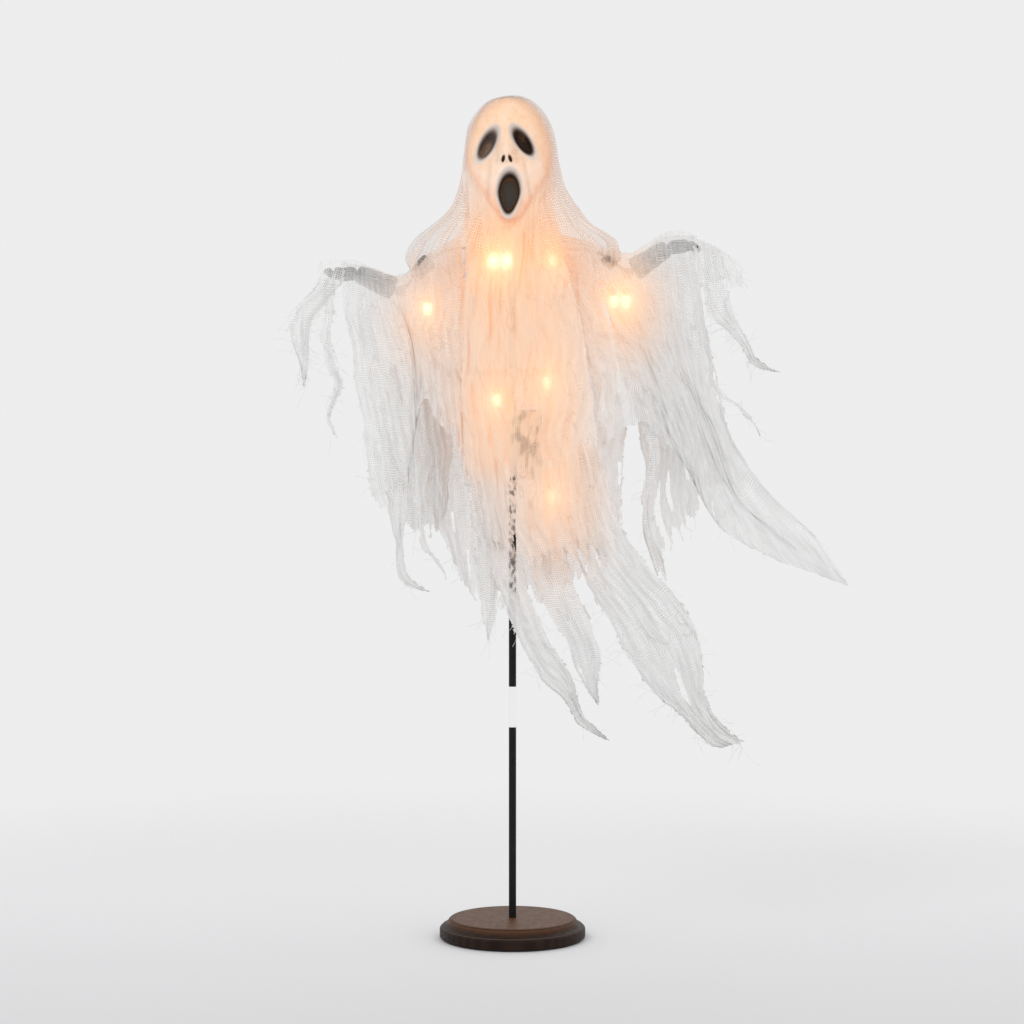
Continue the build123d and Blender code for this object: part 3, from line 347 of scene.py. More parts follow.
# Shared surface effects
def open_weave_group():
    """Plain open weave with creases: how much its threads cover, where it is creased, and its height."""
    drift_scale, drift_reach = 38.0, 0.012
    thinnest, thickest = 0.18, 0.42
    long_grain, cross_grain = (300.0, 40.0, 1.0), (40.0, 300.0, 1.0)
    crease_kinds = (((26.0, 8.0, 1.0), 0.5, 0.0085, 1.0), ((52.0, 40.0, 1.0), 0.46, 0.0065, 0.8))
    group, start, end = new_group("open_weave", "Cloth", ("Pitch", "Cover"), ("Threads", "Creases", "Height"))
    cloth, pitch, cover = (start.outputs[label] for label in ("Cloth", "Pitch", "Cover"))
    drift = node(group, "ShaderNodeTexNoise", {"Vector": cloth, "Scale": drift_scale, "Detail": 3.0})
    drift = vector_maths(group, "SUBTRACT", drift.outputs["Color"], (0.5, 0.5, 0.5))
    moved = vector_maths(group, "ADD", cloth, vector_maths(group, "SCALE", drift, drift_reach))
    lines = []
    for axis, grain in (("X", long_grain), ("Y", cross_grain)):
        wave = maths(group, "PINGPONG", maths(group, "DIVIDE", axis_of(group, moved, axis), pitch), 0.5)
        uneven = noise_value(group, stretched(group, moved, grain), 1.0, 1.0)
        width = times(group, cover, mapped(group, uneven, 0.3, 0.7, thinnest, thickest))
        lines.append(mapped(group, maths(group, "SUBTRACT", wave, width), -0.10, 0.13, 1.0, 0.0))
    creases = []
    for grain, middle, width, strength in crease_kinds:
        drawn = noise_value(group, stretched(group, moved, grain), 1.0, 2.0)
        creases.append(near(group, drawn, middle, width, strength))
    creases = maths(group, "MAXIMUM", *creases)
    film = mapped(group, cover, 0.05, 0.95, 0.02, 0.90, "LINEAR")
    threads = times(group, maths(group, "MAXIMUM", *lines), mapped(group, cover, 0.0, 0.5))
    covered = maths(group, "MAXIMUM", maths(group, "MAXIMUM", threads, film), times(group, creases, cover))
    group.links.new(maths(group, "MINIMUM", covered, 0.97), end.inputs["Threads"])
    group.links.new(creases, end.inputs["Creases"])
    group.links.new(maths(group, "ADD", maths(group, "ADD", *lines), creases), end.inputs["Height"])
    return group


def surface_wear_group():
    """Slow and fine unevenness that any handled surface has."""
    group, start, end = new_group("surface_wear", "Place", ("Scale",), ("Patches", "Specks"))
    place = vector_maths(group, "SCALE", start.outputs["Place"], start.outputs["Scale"])
    group.links.new(mapped(group, noise_value(group, place, 1.0, 4.0), 0.3, 0.7), end.inputs["Patches"])
    group.links.new(mapped(group, noise_value(group, place, 9.0, 5.0), 0.35, 0.75), end.inputs["Specks"])
    return group


open_weave = open_weave_group()
surface_wear = surface_wear_group()


class Finish:
    """A material under way: its tree, its shader and the object's own coordinates."""

    def __init__(self, name):
        self.material = bpy.data.materials.new(name)
        self.material.use_nodes = True
        self.tree = self.material.node_tree
        self.shader = self.tree.nodes["Principled BSDF"]
        self.place = node(self.tree, "ShaderNodeTexCoord").outputs["Object"]

    def set(self, **constants):
        for label, value in constants.items():
            self.shader.inputs[label.replace("_", " ")].default_value = value

    def link(self, label, socket):
        self.tree.links.new(socket, self.shader.inputs[label])

    def bump(self, height, distance, strength=0.6):
        inputs = {"Height": height, "Distance": distance, "Strength": strength}
        self.link("Normal", node(self.tree, "ShaderNodeBump", inputs).outputs["Normal"])

    def wear(self, scale):
        """The surface's slow patches and its fine specks."""
        return placed(self.tree, surface_wear, {"Place": self.place, "Scale": scale}).values()

    def worn(self, scale, first, second, low_rough, high_rough, height=0.0):
        """Colour and roughness that change with the surface's wear."""
        patches, specks = self.wear(scale)
        both = maths(self.tree, "ADD", times(self.tree, patches, 0.6), times(self.tree, specks, 0.4))
        self.link("Base Color", blended(self.tree, both, first, second))
        self.link("Roughness", mapped(self.tree, both, 0.0, 1.0, low_rough, high_rough, "LINEAR"))
        if height:
            self.bump(both, height)


# Finishes
unlit = (0.0, 0.0, 0.0)


def glow_colour(tree, strength):
    """How warm a lit place is and the painted glow that it gives off: peach where warm, yellow beside a lamp.
    """
    peach, amber, yellow = (0.30, 0.105, 0.03), (0.34, 0.17, 0.055), (0.95, 0.80, 0.56)
    warm, hot = attribute(tree, "warm"), attribute(tree, "hot")
    soft = blended(tree, times(tree, warm, strength), unlit, peach)
    halo = blended(tree, mapped(tree, hot, 0.0, 0.5), unlit, amber)
    bright = blended(tree, mapped(tree, hot, 0.35, 1.15), halo, yellow)
    inputs = {"Factor": 1.0, 6: soft, 7: bright}
    return warm, node(tree, "ShaderNodeMix", inputs, data_type="RGBA", blend_type="ADD").outputs[2]


def gauze_finish():
    """Creased cotton gauze: weave on the piece's own cloth map, with the lamps' light from inside painted on
    as a peach colour and a warm emission.
    """
    cotton, pale_cotton, thick_cotton_and_fold_shade = (0.80, 0.795, 0.78), (0.90, 0.895, 0.885), (0.66, 0.65, 0.63)
    lit_cotton, crease_shade, lit_crease = (0.96, 0.655, 0.43), (0.60, 0.59, 0.57), (0.80, 0.46, 0.28)
    finish = Finish("pale_gauze")
    tree = finish.tree
    cloth = node(tree, "ShaderNodeUVMap", uv_map="cloth").outputs["UV"]
    cover = attribute(tree, "cover")
    weave = placed(tree, open_weave, {"Cloth": cloth, "Pitch": thread_pitch, "Cover": cover})
    warm, glow = glow_colour(tree, 0.6)
    streaks = noise_value(tree, stretched(tree, cloth, (160.0, 14.0, 1.0)), 1.0, 3.0)
    plain = blended(tree, mapped(tree, streaks, 0.3, 0.7), cotton, pale_cotton)
    # Darker where the gauze is dense: at its hems and selvedges, and as painted fold shade where a fold turns
    # edge-on
    plain = blended(tree, mapped(tree, cover, 0.95, 1.3), plain, thick_cotton_and_fold_shade)
    # Painted glow: the cotton turns peach where the lamps warm it
    lit = blended(tree, warm, plain, lit_cotton)
    dark = blended(tree, warm, crease_shade, lit_crease)
    finish.link("Base Color", blended(tree, times(tree, weave["Creases"], 0.5), lit, dark))
    finish.link("Emission Color", glow)
    finish.link("Alpha", weave["Threads"])
    finish.bump(weave["Height"], 0.0003, 0.45)
    finish.set(Roughness=0.92, Emission_Strength=1.0, Specular_IOR_Level=0.15)
    finish.set(Sheen_Weight=0.15, Sheen_Roughness=0.5)
    return finish.material


def thread_finish():
    """Loose cotton threads, with the same painted lamp glow as the gauze."""
    finish = Finish("loose_thread")
    finish.worn(300.0, (0.76, 0.755, 0.74), (0.90, 0.895, 0.885), 0.85, 0.95)
    finish.link("Emission Color", glow_colour(finish.tree, 0.3)[1])
    finish.set(Emission_Strength=1.0)
    return finish.material


def head_finish():
    """Milky moulded head, creased like skin and sprayed dark in its hollows, with painted shade in its
    creases, grooves and beside its nose, and the lamps' light from inside painted on: a peach tone deepening
    toward the forehead, brown glow in the eyes and a faint warm emission.
    """
    low_painted_glow, low_pale_painted_glow = (0.93, 0.68, 0.52), (0.95, 0.78, 0.67)
    high_painted_glow, high_pale_painted_glow = (0.89, 0.57, 0.36), (0.92, 0.66, 0.48)
    crease_shade, rim_shade = (0.62, 0.34, 0.20), (0.76, 0.68, 0.63)
    sprayed, thin_spray = (0.030, 0.015, 0.009), (0.060, 0.032, 0.020)
    painted_glow_dark, painted_glow_light, core_shade = (0.13, 0.062, 0.030), (0.24, 0.13, 0.07), (0.092, 0.078, 0.064)
    crease_kinds = (((1.0, 0.5, 0.22), 0.5, 0.011), ((0.5, 0.5, 1.6), 0.47, 0.009))
    crease_scale = 105.0
    finish = Finish("milky_head")
    tree = finish.tree
    dark, rim, core = (attribute(tree, name) for name in ("hollow", "rim", "core"))
    patches, specks = finish.wear(42.0)
    creases = []
    for grain, middle, width in crease_kinds:
        drawn = noise_value(tree, stretched(tree, finish.place, grain), crease_scale, 3.0)
        creases.append(near(tree, drawn, middle, width))
    creases = maths(tree, "MAXIMUM", *creases)
    high = mapped(tree, axis_of(tree, finish.place, "Z"), 0.800, 0.890)
    # Painted glow of the lamps inside: a peach tone that deepens to orange toward the forehead
    skin = blended(tree, patches, blended(tree, high, low_painted_glow, high_painted_glow),
                   blended(tree, high, low_pale_painted_glow, high_pale_painted_glow))
    skin = blended(tree, times(tree, creases, 0.32), skin, crease_shade)
    skin = blended(tree, times(tree, rim, 0.80), skin, rim_shade)
    edge = blended(tree, specks, sprayed, thin_spray)
    # Painted glow: lighter brown inside the eye hollows
    painted_inner_glow = blended(tree, specks, painted_glow_dark, painted_glow_light)
    deep = blended(tree, mapped(tree, core, 0.0, 0.5), edge, painted_inner_glow)
    deep = blended(tree, mapped(tree, core, 0.45, 1.0), deep, core_shade)
    finish.link("Base Color", blended(tree, dark, skin, deep))
    # Painted glow: a faint warm emission wherever the shell is not sprayed
    sprayed_share = maths(tree, "MAXIMUM", dark, rim)
    lit = times(tree, maths(tree, "SUBTRACT", 1.0, sprayed_share, clamp=True), 0.13)
    finish.link("Emission Color", blended(tree, lit, unlit, (1.0, 0.60, 0.32)))
    finish.set(Emission_Strength=1.0, Roughness=0.62, Specular_IOR_Level=0.2)
    finish.bump(maths(tree, "SUBTRACT", times(tree, specks, 0.3), creases), 0.0003, 0.4)
    return finish.material


def walnut_finish():
    """Dark stained walnut: long grain along X, fine pores and wear patches, with the top painted lighter than
    the side, a painted shadow line under the top's edge and a painted highlight line at the step.
    """
    dark_band, light_band = (0.010, 0.0040, 0.0022), (0.024, 0.0105, 0.0055)
    pore_shade, patch_shade = (0.012, 0.0055, 0.0035), (0.034, 0.0155, 0.0085)
    painted_top_light, painted_step_highlight = (0.165, 0.070, 0.028), (0.21, 0.14, 0.10)
    side_height, top_height = 0.0135, 0.0216
    # Painted edge lines: height, width, strength and tint of a painted shadow line under the top's edge, in
    # the pore colour, and a painted highlight line at the step
    painted_edge_lines = ((0.0209, 0.0009, 0.8, pore_shade), (0.0129, 0.0006, 0.5, painted_step_highlight))
    finish = Finish("stained_walnut")
    tree = finish.tree
    grain_place = stretched(tree, finish.place, (1.0, 9.0, 9.0))
    bands = node(tree, "ShaderNodeTexWave",
                 {"Vector": grain_place, "Scale": 5.0, "Distortion": 3.0, "Detail": 4.0, "Detail Scale": 1.3},
                 bands_direction="Y").outputs["Fac"]
    pores = noise_value(tree, stretched(tree, finish.place, (60.0, 900.0, 900.0)), 1.0, 5.0, 0.7)
    pores = mapped(tree, pores, 0.42, 0.62)
    patches, specks = finish.wear(22.0)
    shade = blended(tree, bands, dark_band, light_band)
    shade = blended(tree, times(tree, pores, 0.45), shade, pore_shade)
    shade = blended(tree, times(tree, patches, 0.3), shade, patch_shade)
    height = axis_of(tree, finish.place, "Z")
    # Painted light: the moulding grows lighter toward the top face
    shade = blended(tree, mapped(tree, height, side_height, top_height, 0.0, 0.55), shade, painted_top_light)
    for line_height, line_width, strength, tint in painted_edge_lines:
        shade = blended(tree, near(tree, height, line_height, line_width, strength), shade, tint)
    finish.link("Base Color", shade)
    finish.link("Roughness", mapped(tree, maths(tree, "ADD", pores, specks), 0.0, 2.0, 0.40, 0.62, "LINEAR"))
    finish.bump(maths(tree, "SUBTRACT", bands, times(tree, pores, 0.8)), 0.00025, 0.4)
    finish.set(Specular_IOR_Level=0.14)
    return finish.material


def clear_finish(name, tint, roughness):
    """Clear plastic with a faintly marked surface."""
    finish = Finish(name)
    specks = finish.wear(180.0)[1]
    finish.link("Base Color", blended(finish.tree, specks, tint, tuple(0.97 * c for c in tint)))
    finish.link("Roughness", mapped(finish.tree, specks, 0.0, 1.0, roughness, roughness + 0.06, "LINEAR"))
    finish.set(Transmission_Weight=1.0, IOR=1.45)
    return finish.material


def lamp_finish():
    """Warm frosted lamp glass."""
    finish = Finish("lamp_glass")
    specks = finish.wear(400.0)[1]
    finish.link("Base Color", blended(finish.tree, specks, (0.95, 0.85, 0.66), (1.0, 0.93, 0.80)))
    finish.link("Emission Color", blended(finish.tree, specks, (1.0, 0.80, 0.52), (1.0, 0.90, 0.70)))
    finish.set(Emission_Strength=1.3, Roughness=0.35)
    return finish.material


def solid_finish(name, scale, first, second, low_rough, high_rough, height=0.0, **constants):
    """A plain opaque surface, a little uneven in colour and roughness."""
    finish = Finish(name)
    finish.worn(scale, first, second, low_rough, high_rough, height)
    finish.set(**constants)
    return finish.material


def brushed_finish(name, first, second, along):
    """Drawn or turned metal: fine lines along the piece."""
    finish = Finish(name)
    tree = finish.tree
    lines = noise_value(tree, stretched(tree, finish.place, along), 1.0, 3.0)
    finish.link("Base Color", blended(tree, mapped(tree, lines, 0.3, 0.7), first, second))
    finish.link("Roughness", mapped(tree, lines, 0.3, 0.7, 0.26, 0.42, "LINEAR"))
    finish.bump(lines, 0.00004, 0.4)
    finish.set(Metallic=1.0)
    return finish.material


def foam_finish():
    """Charcoal foam under a dark knitted skin, with painted shade in the pits of its cells."""
    painted_pit_shade, ridge, dust = (0.024, 0.021, 0.020), (0.120, 0.108, 0.098), (0.13, 0.105, 0.09)
    finish = Finish("charcoal_foam")
    tree = finish.tree
    cells = node(tree, "ShaderNodeTexVoronoi", {"Vector": finish.place, "Scale": 620.0}).outputs["Distance"]
    patches, specks = finish.wear(90.0)
    # Painted shade: darker in the pits of the cell bump, lighter on its ridges
    shade = blended(tree, mapped(tree, cells, 0.1, 0.7), painted_pit_shade, ridge)
    finish.link("Base Color", blended(tree, times(tree, patches, 0.4), shade, dust))
    finish.link("Roughness", mapped(tree, specks, 0.0, 1.0, 0.8, 0.95, "LINEAR"))
    finish.bump(cells, 0.0008, 0.7)
    return finish.material


loose_thread = thread_finish()
finishes = {
    "walnut": walnut_finish(),
    "steel": brushed_finish("zinc_steel", (0.42, 0.42, 0.43), (0.62, 0.62, 0.63), (900.0, 900.0, 60.0)),
    "felt": solid_finish("base_felt", 700.0, (0.018, 0.018, 0.018), (0.060, 0.058, 0.056), 0.9, 1.0, 0.0006),
    "black_rod": solid_finish("satin_black_rod", 160.0, (0.0075, 0.0070, 0.0065), (0.0135, 0.0125, 0.0115),
                              0.40, 0.52, 0.00003, Specular_IOR_Level=0.13),
    "clear_acrylic": clear_finish("clear_acrylic", (0.985, 0.99, 0.99), 0.02),
    "white_plastic": solid_finish("white_moulding", 140.0, (0.70, 0.69, 0.66), (0.79, 0.78, 0.76),
                                  0.42, 0.56, 0.00005),
    "head_shell": head_finish(),
    "black_plastic": solid_finish("black_moulding", 150.0, (0.022, 0.021, 0.020), (0.036, 0.034, 0.032),
                                  0.42, 0.6, 0.00008),
    "coated_wire": solid_finish("coated_wire", 200.0, (0.76, 0.73, 0.70), (0.84, 0.81, 0.78), 0.35, 0.5),
    "grey_foam": foam_finish(),
    "clear_lead": clear_finish("clear_lead", (0.93, 0.93, 0.92), 0.12),
    "lamp_glow": lamp_finish(),
    "cell_jacket": solid_finish("cell_jacket", 90.0, (0.30, 0.31, 0.32), (0.40, 0.41, 0.42), 0.25, 0.4),
    "gauze": gauze_finish(),
}


def dress_nodes():
    """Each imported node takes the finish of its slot."""
    for part in frame["record"]["subparts"]:
        piece = frame["nodes"][part["node"]]
        piece.data.materials.clear()
        piece.data.materials.append(finishes[part["material_slot"]])


# Gauze sheets
def worn_thin(there):
    """How much of the gauze in front is left at a place that has worn thin."""
    left_share = 1.0
    if there.y < 0:
        for left, right, bottom, top, strength, grain in thin_spots:
            soft = 0.3 * (right - left)
            inside = smoothstep(-soft, soft, min(there.x - left, right - there.x))
            inside *= smoothstep(-soft, soft, min(there.z - bottom, top - there.z))
            speck = noise.noise(Vector((there.x, there.y, 0.5 * there.z)) * grain)
            left_share -= strength * inside * smoothstep(-0.15, 0.25, speck)
    return left_share


def curve_through(points, count):
    """Evenly spaced places along a smooth curve through the points."""
    points = [Vector(p) for p in points]
    if len(points) == 2:
        return [points[0].lerp(points[1], i / (count - 1)) for i in range(count)]
    steps = 12
    dense = []
    for i in range(len(points) - 1):
        before = points[max(i - 1, 0)]
        a, b = points[i], points[i + 1]
        after = points[min(i + 2, len(points) - 1)]
        for step in range(steps):
            t = step / steps
            dense.append(0.5 * ((2 * a) + (b - before) * t + (2 * before - 5 * a + 4 * b - after) * t * t
                                + (3 * a - before - 3 * b + after) * t ** 3))
    dense.append(points[-1])
    lengths = [0.0]
    for a, b in zip(dense, dense[1:]):
        lengths.append(lengths[-1] + (b - a).length)
    places, k = [], 0
    for i in range(count):
        wanted = lengths[-1] * i / (count - 1)
        while k < len(lengths) - 2 and lengths[k + 1] < wanted:
            k += 1
        run = max(lengths[k + 1] - lengths[k], 1e-9)
        places.append(dense[k].lerp(dense[k + 1], min(1.0, (wanted - lengths[k]) / run)))
    return places


def line_length(points):
    return sum((b - a).length for a, b in zip(points, points[1:]))


def fold(u, v, count, seed):
    """Soft pleats that wander, split and crease on their way down."""
    turn = 2 * pi * (count * u + 0.9 * wander(u * 1.7, v * 1.3, seed))
    sharp = 1 - 2 * abs(sin(0.5 * turn + 0.7))
    second = sin(2 * pi * (1.9 * count * u + 1.4 * wander(u * 2.6, v * 2.1, seed + 3.1)))
    crease = wander(u * count * 2.6, v * 3.2, seed + 7.7)
    fine = wander(u * count * 7.0, v * 9.0, seed + 11.3)
    return 0.40 * sin(turn) + 0.24 * sharp + 0.24 * second + 0.30 * crease + 0.09 * fine


def grid_mesh(name, columns, rows, place, cover, cloth_size, keep, closed=False):
    """A sheet that goes where place(u, v) says and is left where keep(u, v) says, with its cloth map."""
    bm = bmesh.new()
    bmesh.ops.create_grid(bm, x_segments=columns, y_segments=rows, size=0.5)
    cloth_map = bm.loops.layers.uv.new("cloth")
    cover_layer = bm.verts.layers.float.new("cover")
    shares = {}
    for vert in bm.verts:
        shares[vert] = (vert.co.x + 0.5, 0.5 - vert.co.y)
    gone = []
    for face in bm.faces:
        for loop in face.loops:
            u, v = shares[loop.vert]
            loop[cloth_map].uv = (u * cloth_size[0], v * cloth_size[1])
        us, vs = zip(*(shares[vert] for vert in face.verts))
        if not keep(sum(us) / len(us), sum(vs) / len(vs)):
            gone.append(face)
    bmesh.ops.delete(bm, geom=gone, context="FACES")
    for vert in bm.verts:
        vert.co = place(*shares[vert])
    bm.normal_update()
    for vert in bm.verts:
        vert[cover_layer] = cover(*shares[vert], vert)
        if vert.is_boundary and not closed:
            vert.co += noise.noise_vector(vert.co * 900.0) * edge_shake
    if closed:
        bmesh.ops.remove_doubles(bm, verts=bm.verts, dist=0.00002)
    bm.normal_update()
    return new_piece(name, mesh_from(bm, name))


def thread_starts(bm, count, seed, below):
    """Places on a sheet's torn edges where its loose threads start, more of them low down."""
    edge_verts = [vert for vert in bm.verts if vert.is_boundary and vert.co.z < below]
    edge_verts.sort(key=lambda vert: (vert.co.z, vert.co.x))
    starts = []
    for i in range(count):
        pick = wander(i * 3.7, seed, 0.3) * 0.5 + 0.5
        pick = min(0.999, max(0.0, pick * 1.3 - 0.15))
        starts.append(edge_verts[int(len(edge_verts) * pick ** 1.6)])
    return starts


def loose_threads(sheet, count, seed, longest, below):
    """Threads pulled out of a sheet's torn edges, as fine bent fibres."""
    bm = bmesh.new()
    bm.from_mesh(sheet.data)
    curve = bpy.data.curves.new(sheet.name + "_threads", "CURVE")
    curve.dimensions = "3D"
    curve.bevel_depth = thread_radius
    curve.bevel_resolution = 0
    curve.resolution_u = 3
    for i, vert in enumerate(thread_starts(bm, count, seed, below)):
        away = Vector((0.0, 0.0, 0.0))
        for edge in vert.link_edges:
            away += vert.co - edge.other_vert(vert).co
        away = away.normalized() if away.length > 1e-6 else Vector((0, 0, -1))
        length = longest * (0.35 + 0.65 * abs(wander(i * 1.9, seed, 7.0)) * 1.6)
        spline = curve.splines.new("NURBS")
        spline.points.add(thread_steps - 1)
        here = vert.co.copy()
        heading = (away + Vector((0, 0, -0.35))).normalized()
        for k in range(thread_steps):
            spline.points[k].co = (*here, 1.0)
            turn = noise.noise_vector(Vector((i * 5.3, k * 0.45, seed)))
            turn.y *= 0.5
            heading = (heading + turn * 0.75 + Vector((0, 0, -0.10))).normalized()
            here = here + heading * (length / (thread_steps - 1))
        spline.order_u = 3
        spline.use_endpoint_u = True
    bm.free()
    holder = new_piece(sheet.name + "_draft", curve)
    graph = bpy.context.evaluated_depsgraph_get()
    mesh = bpy.data.meshes.new_from_object(holder.evaluated_get(graph))
    bpy.data.objects.remove(holder)
    mesh.materials.clear()
    mesh.materials.append(loose_thread)
    return new_piece(sheet.name + "_threads", mesh)


def gauze(name, lines, nodes=(), hinge=None, folds=5, depth=5.0, lean=0.0, wobble=3.0, calm=0.0,
          density=0.62, sheer=(1.0, 1.0), fade_top=0.0, fade_foot=0.0, fray=0.012, slits=0.0, seed=0.0,
          threads=24, longest=0.03, below=1.0):
    """A sheet hanging through lines that run down it, with pleats, torn edges and loose threads."""
    length = max(line_length([spot(*p) for p in line]) for line in lines)
    rows = max(8, int(length / grid_step))
    sampled = [curve_through([spot(*p) for p in line], rows + 1) for line in lines]
    width = max(line_length([line[j] for line in sampled]) for j in range(0, rows + 1, 4))
    columns = max(4, int(width * 1.15 / grid_step))
    across = [curve_through([line[j] for line in sampled], columns + 1) for j in range(rows + 1)]
    widths = [line_length(row) for row in across]

    def sway_of(run, edge_seed):
        return wander(run * 22, seed, edge_seed) + 0.5 * wander(run * 60, seed, edge_seed + 2)

    def place(u, v):
        j, run = int(round(v * rows)), v * length
        here = across[j][int(round(u * columns))].copy()
        swell = smoothstep(calm, calm + 0.10, v) * (0.55 + 0.6 * v)
        swell *= 0.35 + 0.65 * min(1.0, widths[j] / width)
        here.y += depth * mm * swell * fold(u + lean * v, run / 0.12, folds, seed)
        here.x += 0.35 * depth * mm * swell * wander(u * folds * 1.5, run * 16, seed + 20)
        sway = sway_of(run, 31.0) * (1 - u) ** 3 + sway_of(run, 41.0) * u ** 3
        sway *= smoothstep(0.08, 0.35, v)
        here.x += wobble * mm * sway
        here.y += 0.8 * wobble * mm * sway
        return here

    def keep(u, v):
        run, over = v * length, u * width
        side = min(u, 1 - u) * widths[int(round(v * rows))]
        jag = 0.5 + 0.5 * wander(over * 190, run * 60, seed)
        ragged = wander(over * 60, seed, 4.0)
        if (1 - v) * length < fray * (0.3 + 1.3 * jag + ragged):
            return False
        notch = 0.5 + 0.5 * wander(run * 190, u > 0.5, seed + 2)
        wide = 0.5 + 0.5 * wander(run * 40, u > 0.5, seed + 3)
        if v > 0.12 and side < side_fray * (notch * 0.8 + wide * 0.9 - 0.45):
            return False
        torn = wander(over * 85, run * 11, seed + 5) > 0.62 - slits * smoothstep(0.25, 1.0, v)
        return not (slits and torn and v > 0.22 and side > 0.004)

    def cover(u, v, vert):
        j = int(round(v * rows))
        side = min(u, 1 - u) * widths[j]
        foot = (1 - v) * length
        # The slope term is painted fold shade: the sheet is denser, and past 0.95 darker, where it turns
        # edge-on to the front
        slope = 1 - abs(vert.normal.y)
        streak = wander(u * width * 260, v * length * 7, seed + 13)
        gather = 1.0 + 0.35 * (1 - min(1.0, widths[j] / width))
        dense = density * gather * (0.90 + 0.42 * slope + 0.18 * streak)
        dense += selvedge_cover * bell(side, 0, selvedge_width) * smoothstep(0.02, 0.1, v)
        dense += 0.15 * exp(-foot / 0.003)
        dense *= mix(mix(*sheer, u), 1.0, smoothstep(0.05, 0.24, v))
        if fade_top:
            dense *= smoothstep(0.0, fade_top * (1.9 - sin(pi * u) ** 2), v)
        if fade_foot:
            dense *= smoothstep(0.0, fade_foot, foot)
        return max(0.0, dense * worn_thin(vert.co))

    size = (max(width * 1.1, narrowest_sheet), length)
    piece = grid_mesh(name, columns, rows, place, cover, size, keep)
    finish_sheet(piece, nodes, size, threads, seed, hinge, longest, below)


def finish_sheet(piece, nodes, size, threads, seed, hinge, longest, below):
    """Gives a sheet its gauze finish and loose threads, writes the painted lamp glow on both, puts them on
    the figure's body unless the sheet hangs from an arm, and hides the nodes it takes the place of.
    """
    piece.data.materials.append(finishes["gauze"])
    pieces = [piece, loose_threads(piece, threads, seed, longest, below)]
    for each in pieces:
        light_up(each.data)
        if hinge:
            arm, low, high = hinge
            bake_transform(each)
            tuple(low)
            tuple(high)
        else:
            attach(each, "figure")
    if nodes:
        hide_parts(*nodes)
    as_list(pieces[1:])


def over_arm(px, centre_py, reach, side):
    """Photograph places that go over an arm and down before it, or behind it, and stand off it there."""
    places = []
    for turn in arm_turns:
        out = reach + arm_room * sin(radians(turn))
        places.append((px, centre_py - reach * mm / metres_per_px * cos(radians(turn)),
                       arm_depth + side * out * sin(radians(turn))))
    return places


def draped(lines, side):
    """Lines of places that go over an arm first, in front of it with side -1 and behind it with side 1."""
    return [over_arm(*line[0], side) + list(line[1:]) for line in lines]


# Hood
def hood_place(profiles, u, v):
    """A place on the hood, u turns round from its right side and v of the way down."""
    turn, quarter = 2 * pi * u, u * 4
    j, k = int(round(v * hood_rows)), int(quarter) % 4
    z = mix(profiles[k][j].y, profiles[(k + 1) % 4][j].y, smoothstep(0, 1, quarter - int(quarter)))
    reach_x = (profiles[0] if cos(turn) >= 0 else profiles[2])[j].x
    reach_y = (profiles[1] if sin(turn) >= 0 else profiles[3])[j].x
    ring = Vector((cos(turn), sin(turn), 0.0))
    swell = smoothstep(0.25, 0.9, v)
    pleat = 0.5 * sin(hood_pleats * turn + 3.0 * wander(ring.x * 1.4, ring.y * 1.4, v * 2))
    pleat += 0.8 * wander(ring.x * 6, ring.y * 6, v * 3.2)
    pleat += 0.45 * wander(ring.x * 14, ring.y * 14, v * 7)
    out = mm * (0.4 + 8.5 * swell * swell) * pleat
    front_calm = 1 - 0.6 * smoothstep(0.6, 1.0, -sin(turn))
    there = Vector((reach_x * cos(turn), reach_y * sin(turn), z)) + ring * out * front_calm
    there.z += mm * 5.0 * swell * wander(ring.x * 3, ring.y * 3, 9.0)
    return there


def from_window(there):
    """How far a place is from the middle of the hood's opening, 1 at its edge."""
    across, up = (there.x - window_x) / window_half_width, (there.z - window_z) / window_half_height
    return Vector((across, up)).length


def build_hood():
    profiles = []
    for table in (hood_right, hood_back, hood_left, hood_front):
        profiles.append(curve_through([(reach * mm, z * mm, 0) for z, reach in table], hood_rows + 1))

    def place(u, v):
        return hood_place(profiles, u, v)

    def keep(u, v):
        there = place(u, v)
        hem = 0.975 + 0.03 * wander(u * 90, v * 9, 3.0)
        return v <= hem and not (there.y < window_depth and from_window(there) < 1.0)

    def cover(u, v, vert):
        there = vert.co
        streak = wander(u * 120, v * 2.2, 5.0)
        # The slope term is painted fold shade, as on the other sheets
        slope = 1 - abs(vert.normal.y)
        dense = mix(0.60, 0.36, smoothstep(0.03, 0.07, abs(there.x))) * (0.8 + 0.4 * slope + 0.4 * streak)
        if there.y < window_depth:
            dense *= smoothstep(1.0, mix(1.25, 1.7, smoothstep(0.785, 0.81, there.z)), from_window(there))
        if there.y < 0:
            dense *= 1 - 0.9 * smoothstep(0.755, 0.715, there.z) * smoothstep(0.10, 0.06, abs(there.x))
        return max(0.0, dense * worn_thin(there))

    piece = grid_mesh("gauze_hood", hood_columns, hood_rows, place, cover, hood_cloth, keep, closed=True)
    finish_sheet(piece, ["hood"], hood_flat, threads=90, seed=3.0, hinge=None,
                 longest=0.045, below=head_bottom)


